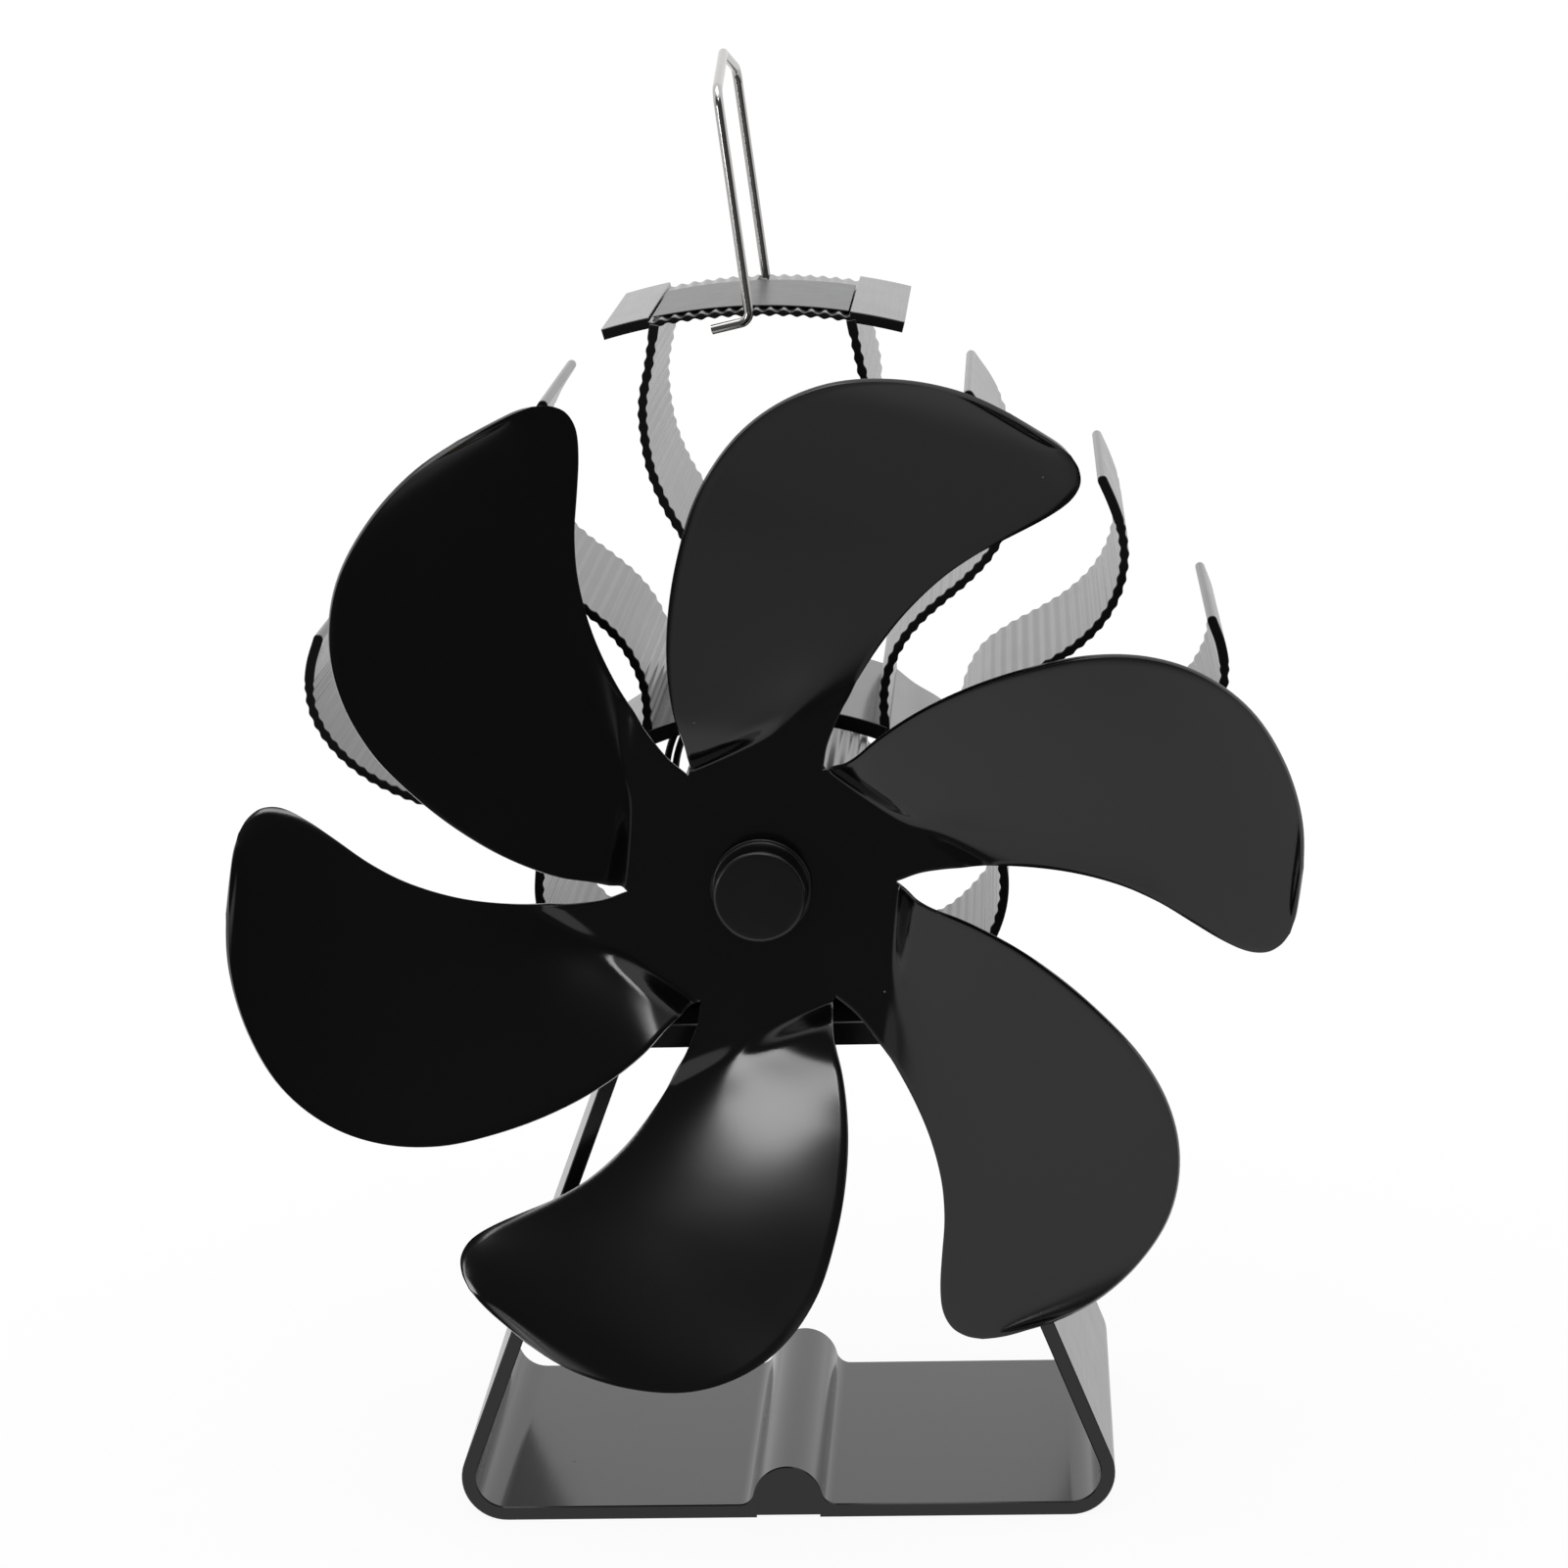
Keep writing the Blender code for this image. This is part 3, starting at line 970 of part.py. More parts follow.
def make_hub():
    """Collar on the shaft, its grub screw, the nut that holds the sheet and the cap over it."""
    collar = turned("hub_collar",
                    ((SPIGOT_RADIUS, -SPIGOT_LENGTH), (SPIGOT_RADIUS, 0), (COLLAR_RADIUS, 0),
                     (COLLAR_RADIUS, COLLAR_LENGTH), (SHAFT_BORE, COLLAR_LENGTH), (SHAFT_BORE, -SPIGOT_LENGTH)),
                    (0, COLLAR_FRONT, SHAFT_HEIGHT), BRASS)
    grub_y = COLLAR_FRONT + COLLAR_LENGTH / 2
    grub_low = SHAFT_HEIGHT + SHAFT_RADIUS + GAP
    cut(collar, rod_mesh(GRUB_RADIUS + GAP, (0, grub_y, SHAFT_HEIGHT), (0, grub_y, SHAFT_HEIGHT + COLLAR_RADIUS + OVERRUN)))
    add_piece("hub_grub_screw", rod_mesh(GRUB_RADIUS, (0, grub_y, grub_low), (0, grub_y, grub_low + GRUB_LENGTH)), ZINC)
    corner = NUT_HALF_FLATS / math.cos(math.pi / 6)
    hexagon = [(corner * math.cos(i * math.pi / 3), SHAFT_HEIGHT + corner * math.sin(i * math.pi / 3)) for i in range(6)]
    bore = arc((0, SHAFT_HEIGHT), SPIGOT_RADIUS + GAP, 0, FULL_TURN, PLAIN_STEPS)[:-1]
    nut_back = SHEET_FRONT - GAP
    add_piece("blade_nut", outline_mesh([hexagon, bore], nut_back - NUT_THICKNESS, nut_back), BRASS)
    inner = CAP_RADIUS - CAP_WALL
    rim = CAP_RADIUS + CAP_RIM_WIDTH
    edge = arc((CAP_RADIUS - CAP_EDGE_RADIUS, CAP_EDGE_RADIUS), CAP_EDGE_RADIUS, -QUARTER_TURN, 0, ARC_STEPS // 2)
    turned("hub_cap",
           ((0, 0), *edge, (CAP_RADIUS, CAP_LENGTH - CAP_RIM_LENGTH), (rim, CAP_LENGTH - CAP_RIM_LENGTH),
            (rim, CAP_LENGTH), (inner, CAP_LENGTH), (inner, CAP_WALL), (0, CAP_WALL)),
           (0, CAP_FRONT, SHAFT_HEIGHT), BLACK_PLASTIC, FINE_STEPS, closed=False)


def finish_parts():
    for item in PARTS.objects:
        if item.type == "MESH":
            shade(item.data)


make_stand()
make_module()
make_clamps()
make_heat_sink()
make_label()
make_motor_case()
make_magnets()
make_terminals(make_armature())
make_blades()
make_hub()
make_handle()
make_leads()
finish_parts()
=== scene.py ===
"""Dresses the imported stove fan: ribbed sink, pressed blades, bent wire, a finish on every piece.

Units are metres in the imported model's own frame: +Z up, +X right, blades towards -Y.
"""
import json
import logging
import math
from collections.abc import Callable, Iterator
from contextlib import contextmanager
from dataclasses import dataclass, field
from enum import Enum
from itertools import accumulate

import bmesh
import bpy
from bpy.types import Material, Mesh, Object
from mathutils import Matrix, Vector


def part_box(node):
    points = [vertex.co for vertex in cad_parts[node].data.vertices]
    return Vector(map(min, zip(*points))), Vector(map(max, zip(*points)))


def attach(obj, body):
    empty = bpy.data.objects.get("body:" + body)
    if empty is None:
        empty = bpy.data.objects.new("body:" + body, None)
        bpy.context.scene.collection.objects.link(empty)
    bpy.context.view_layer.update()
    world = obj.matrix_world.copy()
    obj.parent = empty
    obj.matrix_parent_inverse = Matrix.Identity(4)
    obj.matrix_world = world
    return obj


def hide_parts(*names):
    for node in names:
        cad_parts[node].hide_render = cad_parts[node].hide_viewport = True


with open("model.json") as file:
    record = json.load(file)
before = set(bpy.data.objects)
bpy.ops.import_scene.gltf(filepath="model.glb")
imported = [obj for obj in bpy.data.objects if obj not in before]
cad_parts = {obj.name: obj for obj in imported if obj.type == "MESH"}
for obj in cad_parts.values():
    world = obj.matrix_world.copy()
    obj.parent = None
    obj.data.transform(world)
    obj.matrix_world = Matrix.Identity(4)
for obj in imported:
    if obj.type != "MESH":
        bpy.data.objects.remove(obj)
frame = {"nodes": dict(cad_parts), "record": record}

LOG = logging.getLogger("stove_fan")
WELD = 0.000001
CLEARANCE = 0.0003
OVERRUN = 0.001
BORE_SIDES = 32
SMOOTH_ANGLE = math.radians(34)
QUARTER_TURN = math.pi / 2
FULL_TURN = 2 * math.pi
SHAFT_HEIGHT = 0.1088
WHITE = (1, 1, 1, 1)


class Body(Enum):
    """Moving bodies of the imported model."""

    STAND = "stand"
    ROTOR = "rotor"
    HANDLE = "handle"


def math_operator(operation: str, swapped: bool = False) -> Callable:
    """Makes an operator of Wire.

    Args:
        operation: The Math node's operation.
        swapped: Whether the other value comes first.

    Returns:
        A method that adds one Math node.
    """
    def method(self: "Wire", other: "Wire | float") -> "Wire":
        """Adds the node."""
        return self.graph.math(operation, *((other, self) if swapped else (self, other)))
    return method


class Wire:
    """Output socket of a node. Arithmetic on it adds Math nodes to its tree."""

    __add__ = __radd__ = math_operator("ADD")
    __mul__ = __rmul__ = math_operator("MULTIPLY")
    __sub__, __rsub__ = math_operator("SUBTRACT"), math_operator("SUBTRACT", True)
    __truediv__, __rtruediv__ = math_operator("DIVIDE"), math_operator("DIVIDE", True)
    __lt__, __gt__ = math_operator("LESS_THAN"), math_operator("GREATER_THAN")

    def __init__(self, graph: "Graph", socket: bpy.types.NodeSocket) -> None:
        """Wraps a socket of the graph's tree."""
        self.graph, self.socket = graph, socket


class Graph:
    """A node tree that grows by calls and by expressions on its wires."""

    def __init__(self, tree: bpy.types.NodeTree) -> None:
        """Starts on a tree of any kind."""
        self.tree = tree

    @classmethod
    def of(cls, owner: Material | bpy.types.World) -> "Graph":
        """Empties the tree of a material or a world and starts on it."""
        owner.use_nodes = True
        owner.node_tree.nodes.clear()
        return cls(owner.node_tree)

    def node(self, kind: str, settings: dict | None = None, inputs: dict | None = None,
             **named: Wire | float | tuple) -> bpy.types.Node:
        """Adds one node.

        Args:
            kind: Blender's type name.
            settings: Properties, set first.
            inputs: Values or wires by socket number.
            **named: Values or wires by socket name, with _ for a space.

        Returns:
            The node.
        """
        made = self.tree.nodes.new(kind)
        for name, value in (settings or {}).items():
            setattr(made, name, value)
        by_name = {name.replace("_", " "): value for name, value in named.items()}
        for key, value in {**(inputs or {}), **by_name}.items():
            if isinstance(value, Wire):
                self.tree.links.new(value.socket, made.inputs[key])
            else:
                made.inputs[key].default_value = value
        return made

    def wire(self, kind: str, settings: dict | None = None, inputs: dict | None = None,
             output: int | str = 0, **named: Wire | float | tuple) -> Wire:
        """Adds one node and returns one of its outputs."""
        return Wire(self, self.node(kind, settings, inputs, **named).outputs[output])

    def wires(self, kind: str, *outputs: str, **named: Wire | float | tuple) -> list[Wire]:
        """Adds one node and returns several of its outputs."""
        made = self.node(kind, **named)
        return [Wire(self, made.outputs[name]) for name in outputs]

    def math(self, operation: str, *values: Wire | float) -> Wire:
        """Adds a Math node on up to three values."""
        return self.wire("ShaderNodeMath", {"operation": operation}, dict(enumerate(values)))

    def smooth(self, value: Wire, low: float, high: float) -> Wire:
        """Smooth step from 0 at low to 1 at high."""
        return self.wire("ShaderNodeMapRange", {"interpolation_type": "SMOOTHSTEP"},
                         Value=value, From_Min=low, From_Max=high)

    def mix(self, factor: Wire | float, first: Wire | tuple, second: Wire | tuple) -> Wire:
        """Mixes two colours."""
        return self.wire("ShaderNodeMix", {"data_type": "RGBA"},
                         {0: factor, 6: first, 7: second}, 2)

    def blend(self, factor: Wire, first: Wire, second: Wire) -> Wire:
        """Mixes two shaders."""
        return self.wire("ShaderNodeMixShader", None, {0: factor, 1: first, 2: second})

    def noise(self, at: Wire, size: float, detail: float = 2.0, roughness: float = 0.5) -> Wire:
        """Noise between 0 and 1, with patches of a size."""
        return self.wire("ShaderNodeTexNoise", Vector=at, Scale=1 / size, Detail=detail,
                         Roughness=roughness)

    def specks(self, at: Wire, spacing: float, radius: float) -> Wire:
        """Scatters small specks.

        Args:
            at: Coordinates.
            spacing: Usual distance between specks.
            radius: The largest speck's.

        Returns:
            1 on the specks, else 0.
        """
        colour, distance = self.wires("ShaderNodeTexVoronoi", "Color", "Distance", Vector=at,
                                      Scale=1 / spacing)
        keep = self.wire("ShaderNodeSeparateColor", Color=colour)
        return distance < keep * (radius / spacing)

    def bump(self, height: Wire, distance: float, below: Wire | None = None) -> Wire:
        """Normal from a height, its real size, and perhaps another normal below it."""
        under = {} if below is None else {"Normal": below}
        return self.wire("ShaderNodeBump", Height=height, Distance=distance, Strength=1.0, **under)


class NodeTool:
    """Geometry Nodes tree with named inputs that turns one mesh into another."""

    def __init__(self, name: str, finish: Material, **inputs: str) -> None:
        """Makes the tree's interface.

        Args:
            name: The tree's name.
            finish: Material of what it makes.
            **inputs: Socket types by input name, with _ for a space.
        """
        self.finish = finish
        self.tree = bpy.data.node_groups.new(name, "GeometryNodeTree")
        for label, kind in {"Geometry": "Geometry", **inputs, "Finish": "Material"}.items():
            self.tree.interface.new_socket(label.replace("_", " "), in_out="INPUT",
                                           socket_type=f"NodeSocket{kind}")
        self.tree.interface.new_socket("Geometry", in_out="OUTPUT",
                                       socket_type="NodeSocketGeometry")
        self.graph = Graph(self.tree)
        self.entry = self.graph.node("NodeGroupInput")

    def given(self, name: str) -> Wire:
        """One of the tree's inputs."""
        return Wire(self.graph, self.entry.outputs[name])

    def close(self, geometry: Wire) -> None:
        """Ends the tree with real geometry and its material."""
        g = self.graph
        real = g.wire("GeometryNodeRealizeInstances", Geometry=geometry)
        dressed = g.wire("GeometryNodeSetMaterial", Geometry=real, Material=self.given("Finish"))
        g.node("NodeGroupOutput", Geometry=dressed)

    def apply(self, mesh: Mesh, **values: float) -> Mesh:
        """Runs the tree on a mesh.

        Args:
            mesh: Its input geometry.
            **values: Inputs by name, with _ for a space.

        Returns:
            The result as a plain mesh.
        """
        holder = linked(self.tree.name, mesh)
        modifier = holder.modifiers.new("build", "NODES")
        modifier.node_group = self.tree
        wanted = {key.replace("_", " "): value for key, value in values.items()}
        wanted["Finish"] = self.finish
        for item in self.tree.interface.items_tree:
            if item.in_out == "INPUT" and item.name in wanted:
                modifier[item.identifier] = wanted[item.name]
        return bake(holder)


def linked(name: str, data: bpy.types.ID) -> Object:
    """Makes an object at the origin of the scene.

    Args:
        name: Its name.
        data: Its mesh, camera or light.

    Returns:
        The object.
    """
    item = bpy.data.objects.new(name, data)
    bpy.context.scene.collection.objects.link(item)
    return item


@contextmanager
def edited(mesh: Mesh) -> Iterator[bmesh.types.BMesh]:
    """Lends the editable form of a mesh and then writes it back."""
    form = bmesh.new()
    form.from_mesh(mesh)
    yield form
    form.to_mesh(mesh)
    form.free()


def bake(holder: Object) -> Mesh:
    """Turns an object with modifiers into a plain mesh.

    Args:
        holder: The object, which is removed.

    Returns:
        The mesh.
    """
    bpy.context.view_layer.update()
    graph = bpy.context.evaluated_depsgraph_get()
    mesh = bpy.data.meshes.new_from_object(holder.evaluated_get(graph))
    holder.modifiers.clear()
    bpy.data.objects.remove(holder, do_unlink=True)
    return mesh


def seal(mesh: Mesh) -> Mesh:
    """Merges doubles, turns the faces outwards and marks the sharp edges.

    Args:
        mesh: A closed mesh.

    Returns:
        The same mesh.
    """
    with edited(mesh) as form:
        bmesh.ops.remove_doubles(form, verts=form.verts, dist=WELD)
        bmesh.ops.recalc_face_normals(form, faces=form.faces)
        loose = sum(len(edge.link_faces) != 2 for edge in form.edges)
    if loose:
        LOG.warning("%s has %d open edges", mesh.name, loose)
    mesh.shade_smooth()
    mesh.set_sharp_from_angle(angle=SMOOTH_ANGLE)
    return mesh


def joined(meshes: list[Mesh]) -> Mesh:
    """Puts sealed meshes into the first of them, which is returned."""
    with edited(meshes[0]) as form:
        for mesh in meshes[1:]:
            form.from_mesh(mesh)
    meshes[0].set_sharp_from_angle(angle=SMOOTH_ANGLE)
    return meshes[0]


def with_cuts(mesh: Mesh, cutters: list[Mesh]) -> Mesh:
    """Cuts closed meshes out of a closed mesh.

    Args:
        mesh: What is cut.
        cutters: What is taken away.

    Returns:
        A new sealed mesh.
    """
    body = linked("body", mesh)
    tools = [linked("cutter", cutter) for cutter in cutters]
    for tool in tools:
        cut = body.modifiers.new("cut", "BOOLEAN")
        cut.operation, cut.solver, cut.object = "DIFFERENCE", "EXACT", tool
    made = bake(body)
    for tool in tools:
        bpy.data.objects.remove(tool, do_unlink=True)
    return seal(made)


def box_mesh(low: tuple, high: tuple) -> Mesh:
    """Makes a box.

    Args:
        low: Its lowest corner.
        high: Its highest corner.

    Returns:
        The mesh.
    """
    mesh = bpy.data.meshes.new("box")
    with edited(mesh) as form:
        bmesh.ops.create_cube(form, size=1)
        bmesh.ops.scale(form, vec=Vector(high) - Vector(low), verts=form.verts)
        bmesh.ops.translate(form, vec=(Vector(high) + Vector(low)) / 2, verts=form.verts)
    return mesh


def bore_pair(radius: float, spread: float, y: float, low: float, high: float) -> list[Mesh]:
    """Makes two upright rods that cut bores.

    Args:
        radius: Their radius.
        spread: Their distance from the middle plane.
        y: Their place in Y.
        low: Z of their lower ends.
        high: Z of their upper ends.

    Returns:
        The left and the right rod.
    """
    rods = []
    for side in (-1, 1):
        start, end = Vector((side * spread, y, low)), Vector((side * spread, y, high))
        turn = (end - start).to_track_quat("Z", "Y").to_matrix().to_4x4()
        rods.append(bpy.data.meshes.new("rod"))
        with edited(rods[-1]) as form:
            bmesh.ops.create_cone(form, cap_ends=True, segments=BORE_SIDES, radius1=radius,
                                  radius2=radius, depth=(end - start).length,
                                  matrix=Matrix.Translation((start + end) / 2) @ turn)
    return rods


def turned_mesh(profile: list[tuple[float, float]], front: float, steps: int) -> Mesh:
    """Turns a profile round the shaft's axis.

    Args:
        profile: (radius, setback) pairs over the outside and back, both ends on the axis.
        front: Y of the profile's zero setback.
        steps: Steps round the axis.

    Returns:
        The sealed mesh.
    """
    mesh = bpy.data.meshes.new("turned")
    with edited(mesh) as form:
        first, last = (form.verts.new((0, front + profile[i][1], SHAFT_HEIGHT)) for i in (0, -1))
        rings = [[form.verts.new((out * math.cos(turn), front + back,
                                  SHAFT_HEIGHT + out * math.sin(turn)))
                  for out, back in profile[1:-1]]
                 for turn in (FULL_TURN * i / steps for i in range(steps))]
        for here, there in zip(rings, rings[1:] + rings[:1]):
            form.faces.new((first, here[0], there[0]))
            for i in range(len(here) - 1):
                form.faces.new((here[i], here[i + 1], there[i + 1], there[i]))
            form.faces.new((here[-1], last, there[-1]))
    return seal(mesh)


def arc(centre: tuple, radius: float, start: float, end: float, steps: int = 10) -> list[Vector]:
    """Points on a circular arc in a plane, with angles in radians."""
    return [Vector((centre[0] + radius * math.cos(a), centre[1] + radius * math.sin(a)))
            for a in (start + (end - start) * i / steps for i in range(steps + 1))]


def mirrored(points: list, side: int = -1) -> list[Vector]:
    """Points with their X multiplied by the side, 1 or -1."""
    return [Vector((side * point[0], point[1])) for point in points]


def smooth_step(value: float, low: float, high: float) -> float:
    """Smooth step from 0 at low to 1 at high."""
    t = min(1.0, max(0.0, (value - low) / (high - low)))
    return t * t * (3 - 2 * t)


def catmull(points: list, steps: int = 16) -> list[Vector]:
    """Smooth curve through points.

    Args:
        points: Points of any dimension.
        steps: Steps between two of them.

    Returns:
        The curve's points.
    """
    points = [Vector(point) for point in points]
    padded = [2 * points[0] - points[1], *points, 2 * points[-1] - points[-2]]
    curve = []
    for i in range(1, len(padded) - 2):
        a, b, c, d = padded[i - 1:i + 3]
        for t in (k / steps for k in range(steps)):
            curve.append(0.5 * (2 * b + (c - a) * t + (2 * a - 5 * b + 4 * c - d) * t ** 2
                                + (3 * b - a - 3 * c + d) * t ** 3))
    return [*curve, points[-1]]


def run_of(curve: list[Vector]) -> list[float]:
    """Distance along a curve at each of its points."""
    return list(accumulate(((b - a).length for a, b in zip(curve, curve[1:])), initial=0.0))


def resampled(curve: list[Vector], count: int) -> list[Vector]:
    """Points at equal steps along a curve.

    Args:
        curve: Its points.
        count: How many steps.

    Returns:
        One point more than the steps.
    """
    runs = run_of(curve)
    points, i = [], 0
    for k in range(count + 1):
        target = runs[-1] * k / count
        while i < len(curve) - 2 and runs[i + 1] < target:
            i += 1
        step = (target - runs[i]) / max(runs[i + 1] - runs[i], WELD / 10)
        points.append(curve[i].lerp(curve[i + 1], min(step, 1.0)))
    return points


def route(start: tuple, end: tuple, shares: tuple) -> list[Vector]:
    """Smooth route between two points in X and Z, shaped by shares of the way."""
    return catmull([(start[0] + across * (end[0] - start[0]), start[1] + up * (end[1] - start[1]))
                    for across, up in shares])


@dataclass
class Outline:
    """Closed loop of a section in X and Z, with each point's place along the ribs."""

    points: list[Vector]
    run: list[float] = field(default_factory=list)
    ribbed: list[float] = field(default_factory=list)

    def __post_init__(self) -> None:
        """A loop without ribs has none anywhere."""
        self.run = self.run or [0.0] * len(self.points)
        self.ribbed = self.ribbed or [0.0] * len(self.points)

    @classmethod
    def rectangle(cls, half: float, low: float, high: float) -> "Outline":
        """Rectangle about the middle plane."""
        return cls([Vector(p) for p in ((-half, low), (half, low), (half, high), (-half, high))])

    def turned(self, outside: bool) -> "Outline":
        """The loop run anticlockwise for an outside, or clockwise for a hole."""
        pairs = zip(self.points, self.points[1:] + self.points[:1])
        if (sum(a[0] * b[1] - b[0] * a[1] for a, b in pairs) > 0) == outside:
            return self
        return Outline(self.points[::-1], self.run[::-1], self.ribbed[::-1])


@dataclass(frozen=True)
class Strip:
    """Strip along a path: its thickness, its plain ends, and which sides have ribs."""

    thickness: float
    pitch: float = 1.0
    plain: tuple = (0.0025, 0.0025)
    ribs: tuple = (True, True)
    round_end: bool = False
    spacing: float = 0.0004
    least_steps: int = 8

    def fitted_pitch(self, path: list[Vector]) -> float:
        """Pitch that fits the path a whole number of times."""
        length = run_of(path)[-1]
        return length / max(2, round(length / self.pitch))

    def outline(self, path: list[Vector]) -> Outline:
        """Draws the strip.

        Args:
            path: Its middle line.

        Returns:
            A loop down the path's left side and back up its right side.
        """
        length = run_of(path)[-1]
        count = max(self.least_steps, round(length / self.spacing))
        line = resampled(path, count)
        left, right, runs, masks, cap = [], [], [], [], []
        for i, point in enumerate(line):
            ahead = line[min(i + 1, count)] - line[max(i - 1, 0)]
            across = Vector((-ahead.y, ahead.x)).normalized() * (self.thickness / 2)
            left.append(point + across)
            right.append(point - across)
            runs.append(length * i / count)
            edge = min(runs[-1] - self.plain[0], length - self.plain[1] - runs[-1])
            masks.append(min(1.0, max(0.0, edge / (self.pitch / 4) + 1)))
        if self.round_end:
            way = line[-1] - line[-2]
            heading = math.atan2(way.y, way.x)
            cap = arc(line[-1], self.thickness / 2, heading + QUARTER_TURN,
                      heading - QUARTER_TURN)[1:-1]
        left_masks, right_masks = ([mask * ribbed for mask in masks] for ribbed in self.ribs)
        return Outline(left + cap + right[::-1], runs + [length] * len(cap) + runs[::-1],
                       left_masks + [0.0] * len(cap) + right_masks[::-1])


class SectionTool(NodeTool):
    """Extrudes flat loops along Y, with ribs along the loops and broken end edges."""

    def __init__(self, finish: Material) -> None:
        """Builds the tree.

        Args:
            finish: Material of what it makes.
        """
        super().__init__("extruded_section", finish, Front="Float", Depth="Float",
                         Edge_break="Float", Rib_pitch="Float", Rib_depth="Float", Step="Float",
                         Ribbed="Bool")
        g, given = self.graph, self.given
        curve = g.wire("GeometryNodeMeshToCurve", Mesh=given("Geometry"))
        fine = g.wire("GeometryNodeResampleCurve", {"mode": "LENGTH"}, Curve=curve,
                      Length=given("Step"))
        curve = g.wire("GeometryNodeSwitch", {"input_type": "GEOMETRY"},
                       {0: given("Ribbed"), "False": curve, "True": fine})
        curve = g.wire("GeometryNodeSetCurveNormal", {"mode": "Z_UP"}, Curve=curve)
        run, ribbed = (g.wire("GeometryNodeInputNamedAttribute", {"data_type": "FLOAT"}, Name=name)
                       for name in ("run", "ribbed"))
        wave = 0.5 - 0.5 * g.math("COSINE", FULL_TURN * run / given("Rib pitch"))
        normal = g.wire("GeometryNodeInputNormal")
        curve = self._moved(curve, normal, -1 * wave * ribbed * given("Rib depth"))
        walls = g.wire("GeometryNodeCurveToMesh", Curve=curve, Profile_Curve=self._profile())
        inset = self._moved(curve, normal, -1 * given("Edge break"))
        end = g.wire("GeometryNodeFillCurve", {"mode": "NGONS"}, Curve=inset)
        depth = g.wire("ShaderNodeCombineXYZ", Z=given("Depth"))
        far = g.wire("GeometryNodeTransform", Geometry=end, Translation=depth)
        both = g.node("GeometryNodeJoinGeometry")
        for part in (walls, end, far):
            g.tree.links.new(part.socket, both.inputs[0])
        merged = g.wire("GeometryNodeMergeByDistance", Geometry=Wire(g, both.outputs[0]),
                        Distance=WELD)
        back = g.wire("ShaderNodeCombineXYZ", Y=given("Front") + given("Depth"))
        self.close(g.wire("GeometryNodeTransform", Geometry=merged, Translation=back,
                          Rotation=(QUARTER_TURN, 0, 0)))

    def _moved(self, curve: Wire, normal: Wire, distance: Wire) -> Wire:
        """Curve with its points moved along its normals."""
        offset = self.graph.wire("ShaderNodeVectorMath", {"operation": "SCALE"}, Vector=normal,
                                 Scale=distance)
        return self.graph.wire("GeometryNodeSetPosition", Geometry=curve, Offset=offset)

    def _profile(self) -> Wire:
        """Draws the line that the loop is swept along.

        Returns:
            A straight line over the depth, with both ends drawn in by the edge break.
        """
        g = self.graph
        line = g.wire("GeometryNodeCurvePrimitiveLine", End=(0, 1, 0))
        line = g.wire("GeometryNodeResampleCurve", {"mode": "COUNT"}, Curve=line, Count=4)
        index = g.wire("GeometryNodeInputIndex")
        at_end = g.math("ABSOLUTE", index - 1.5) > 1
        far = index > 1.5
        edge = self.given("Edge break")
        depth = far * self.given("Depth") + (1 - 2 * far) * (1 - at_end) * edge
        place = g.wire("ShaderNodeCombineXYZ", X=-1 * at_end * edge, Y=-1 * depth)
        return g.wire("GeometryNodeSetPosition", Geometry=line, Position=place)

    def extrude(self, loops: list[Outline], front: float, depth: float, edge: float = 0.00012,
                pitch: float = 1.0, rib_depth: float = 0.0, step: float = 0.0) -> Mesh:
        """Extrudes one section.

        Args:
            loops: The outside first, then any holes.
            front: Y of the front face.
            depth: Length along Y.
            edge: Width of the broken edge round each end face.
            pitch: Rib pitch along the loops.
            rib_depth: Depth of the ribs' grooves.
            step: Spacing of the points along the loops, or 0 to keep the points given.

        Returns:
            A closed mesh.
        """
        mesh = bpy.data.meshes.new("section")
        points, edges, runs, masks = [], [], [], []
        for number, loop in enumerate(loops):
            loop = loop.turned(number == 0)
            first, size = len(points), len(loop.points)
            points += [(x, z, 0.0) for x, z in loop.points]
            edges += [(first + i, first + (i + 1) % size) for i in range(size)]
            runs += loop.run
            masks += loop.ribbed
        mesh.from_pydata(points, edges, [])
        for name, values in (("run", runs), ("ribbed", masks)):
            mesh.attributes.new(name, "FLOAT", "POINT").data.foreach_set("value", values)
        return seal(self.apply(mesh, Front=front, Depth=depth, Edge_break=edge, Rib_pitch=pitch,
                               Rib_depth=rib_depth, Step=step or 1.0, Ribbed=step > 0))


class WireTool(NodeTool):
    """Sweeps a round wire along a path."""

    def __init__(self, finish: Material) -> None:
        """Builds the tree.

        Args:
            finish: Material of what it makes.
        """
        super().__init__("round_wire", finish, Radius="Float", Sides="Int")
        g = self.graph
        curve = g.wire("GeometryNodeMeshToCurve", Mesh=self.given("Geometry"))
        circle = g.wire("GeometryNodeCurvePrimitiveCircle", Resolution=self.given("Sides"),
                        Radius=self.given("Radius"))
        self.close(g.wire("GeometryNodeCurveToMesh", Curve=curve, Profile_Curve=circle,
                          Fill_Caps=True))

    def sweep(self, path: list[Vector], radius: float, sides: int) -> Mesh:
        """Sweeps one wire.

        Args:
            path: Points in space.
            radius: The wire's radius.
            sides: Sides of its section.

        Returns:
            A closed mesh.
        """
        mesh = bpy.data.meshes.new("path")
        mesh.from_pydata([tuple(point) for point in path],
                         [(i, i + 1) for i in range(len(path) - 1)], [])
        return seal(self.apply(mesh, Radius=radius, Sides=sides))


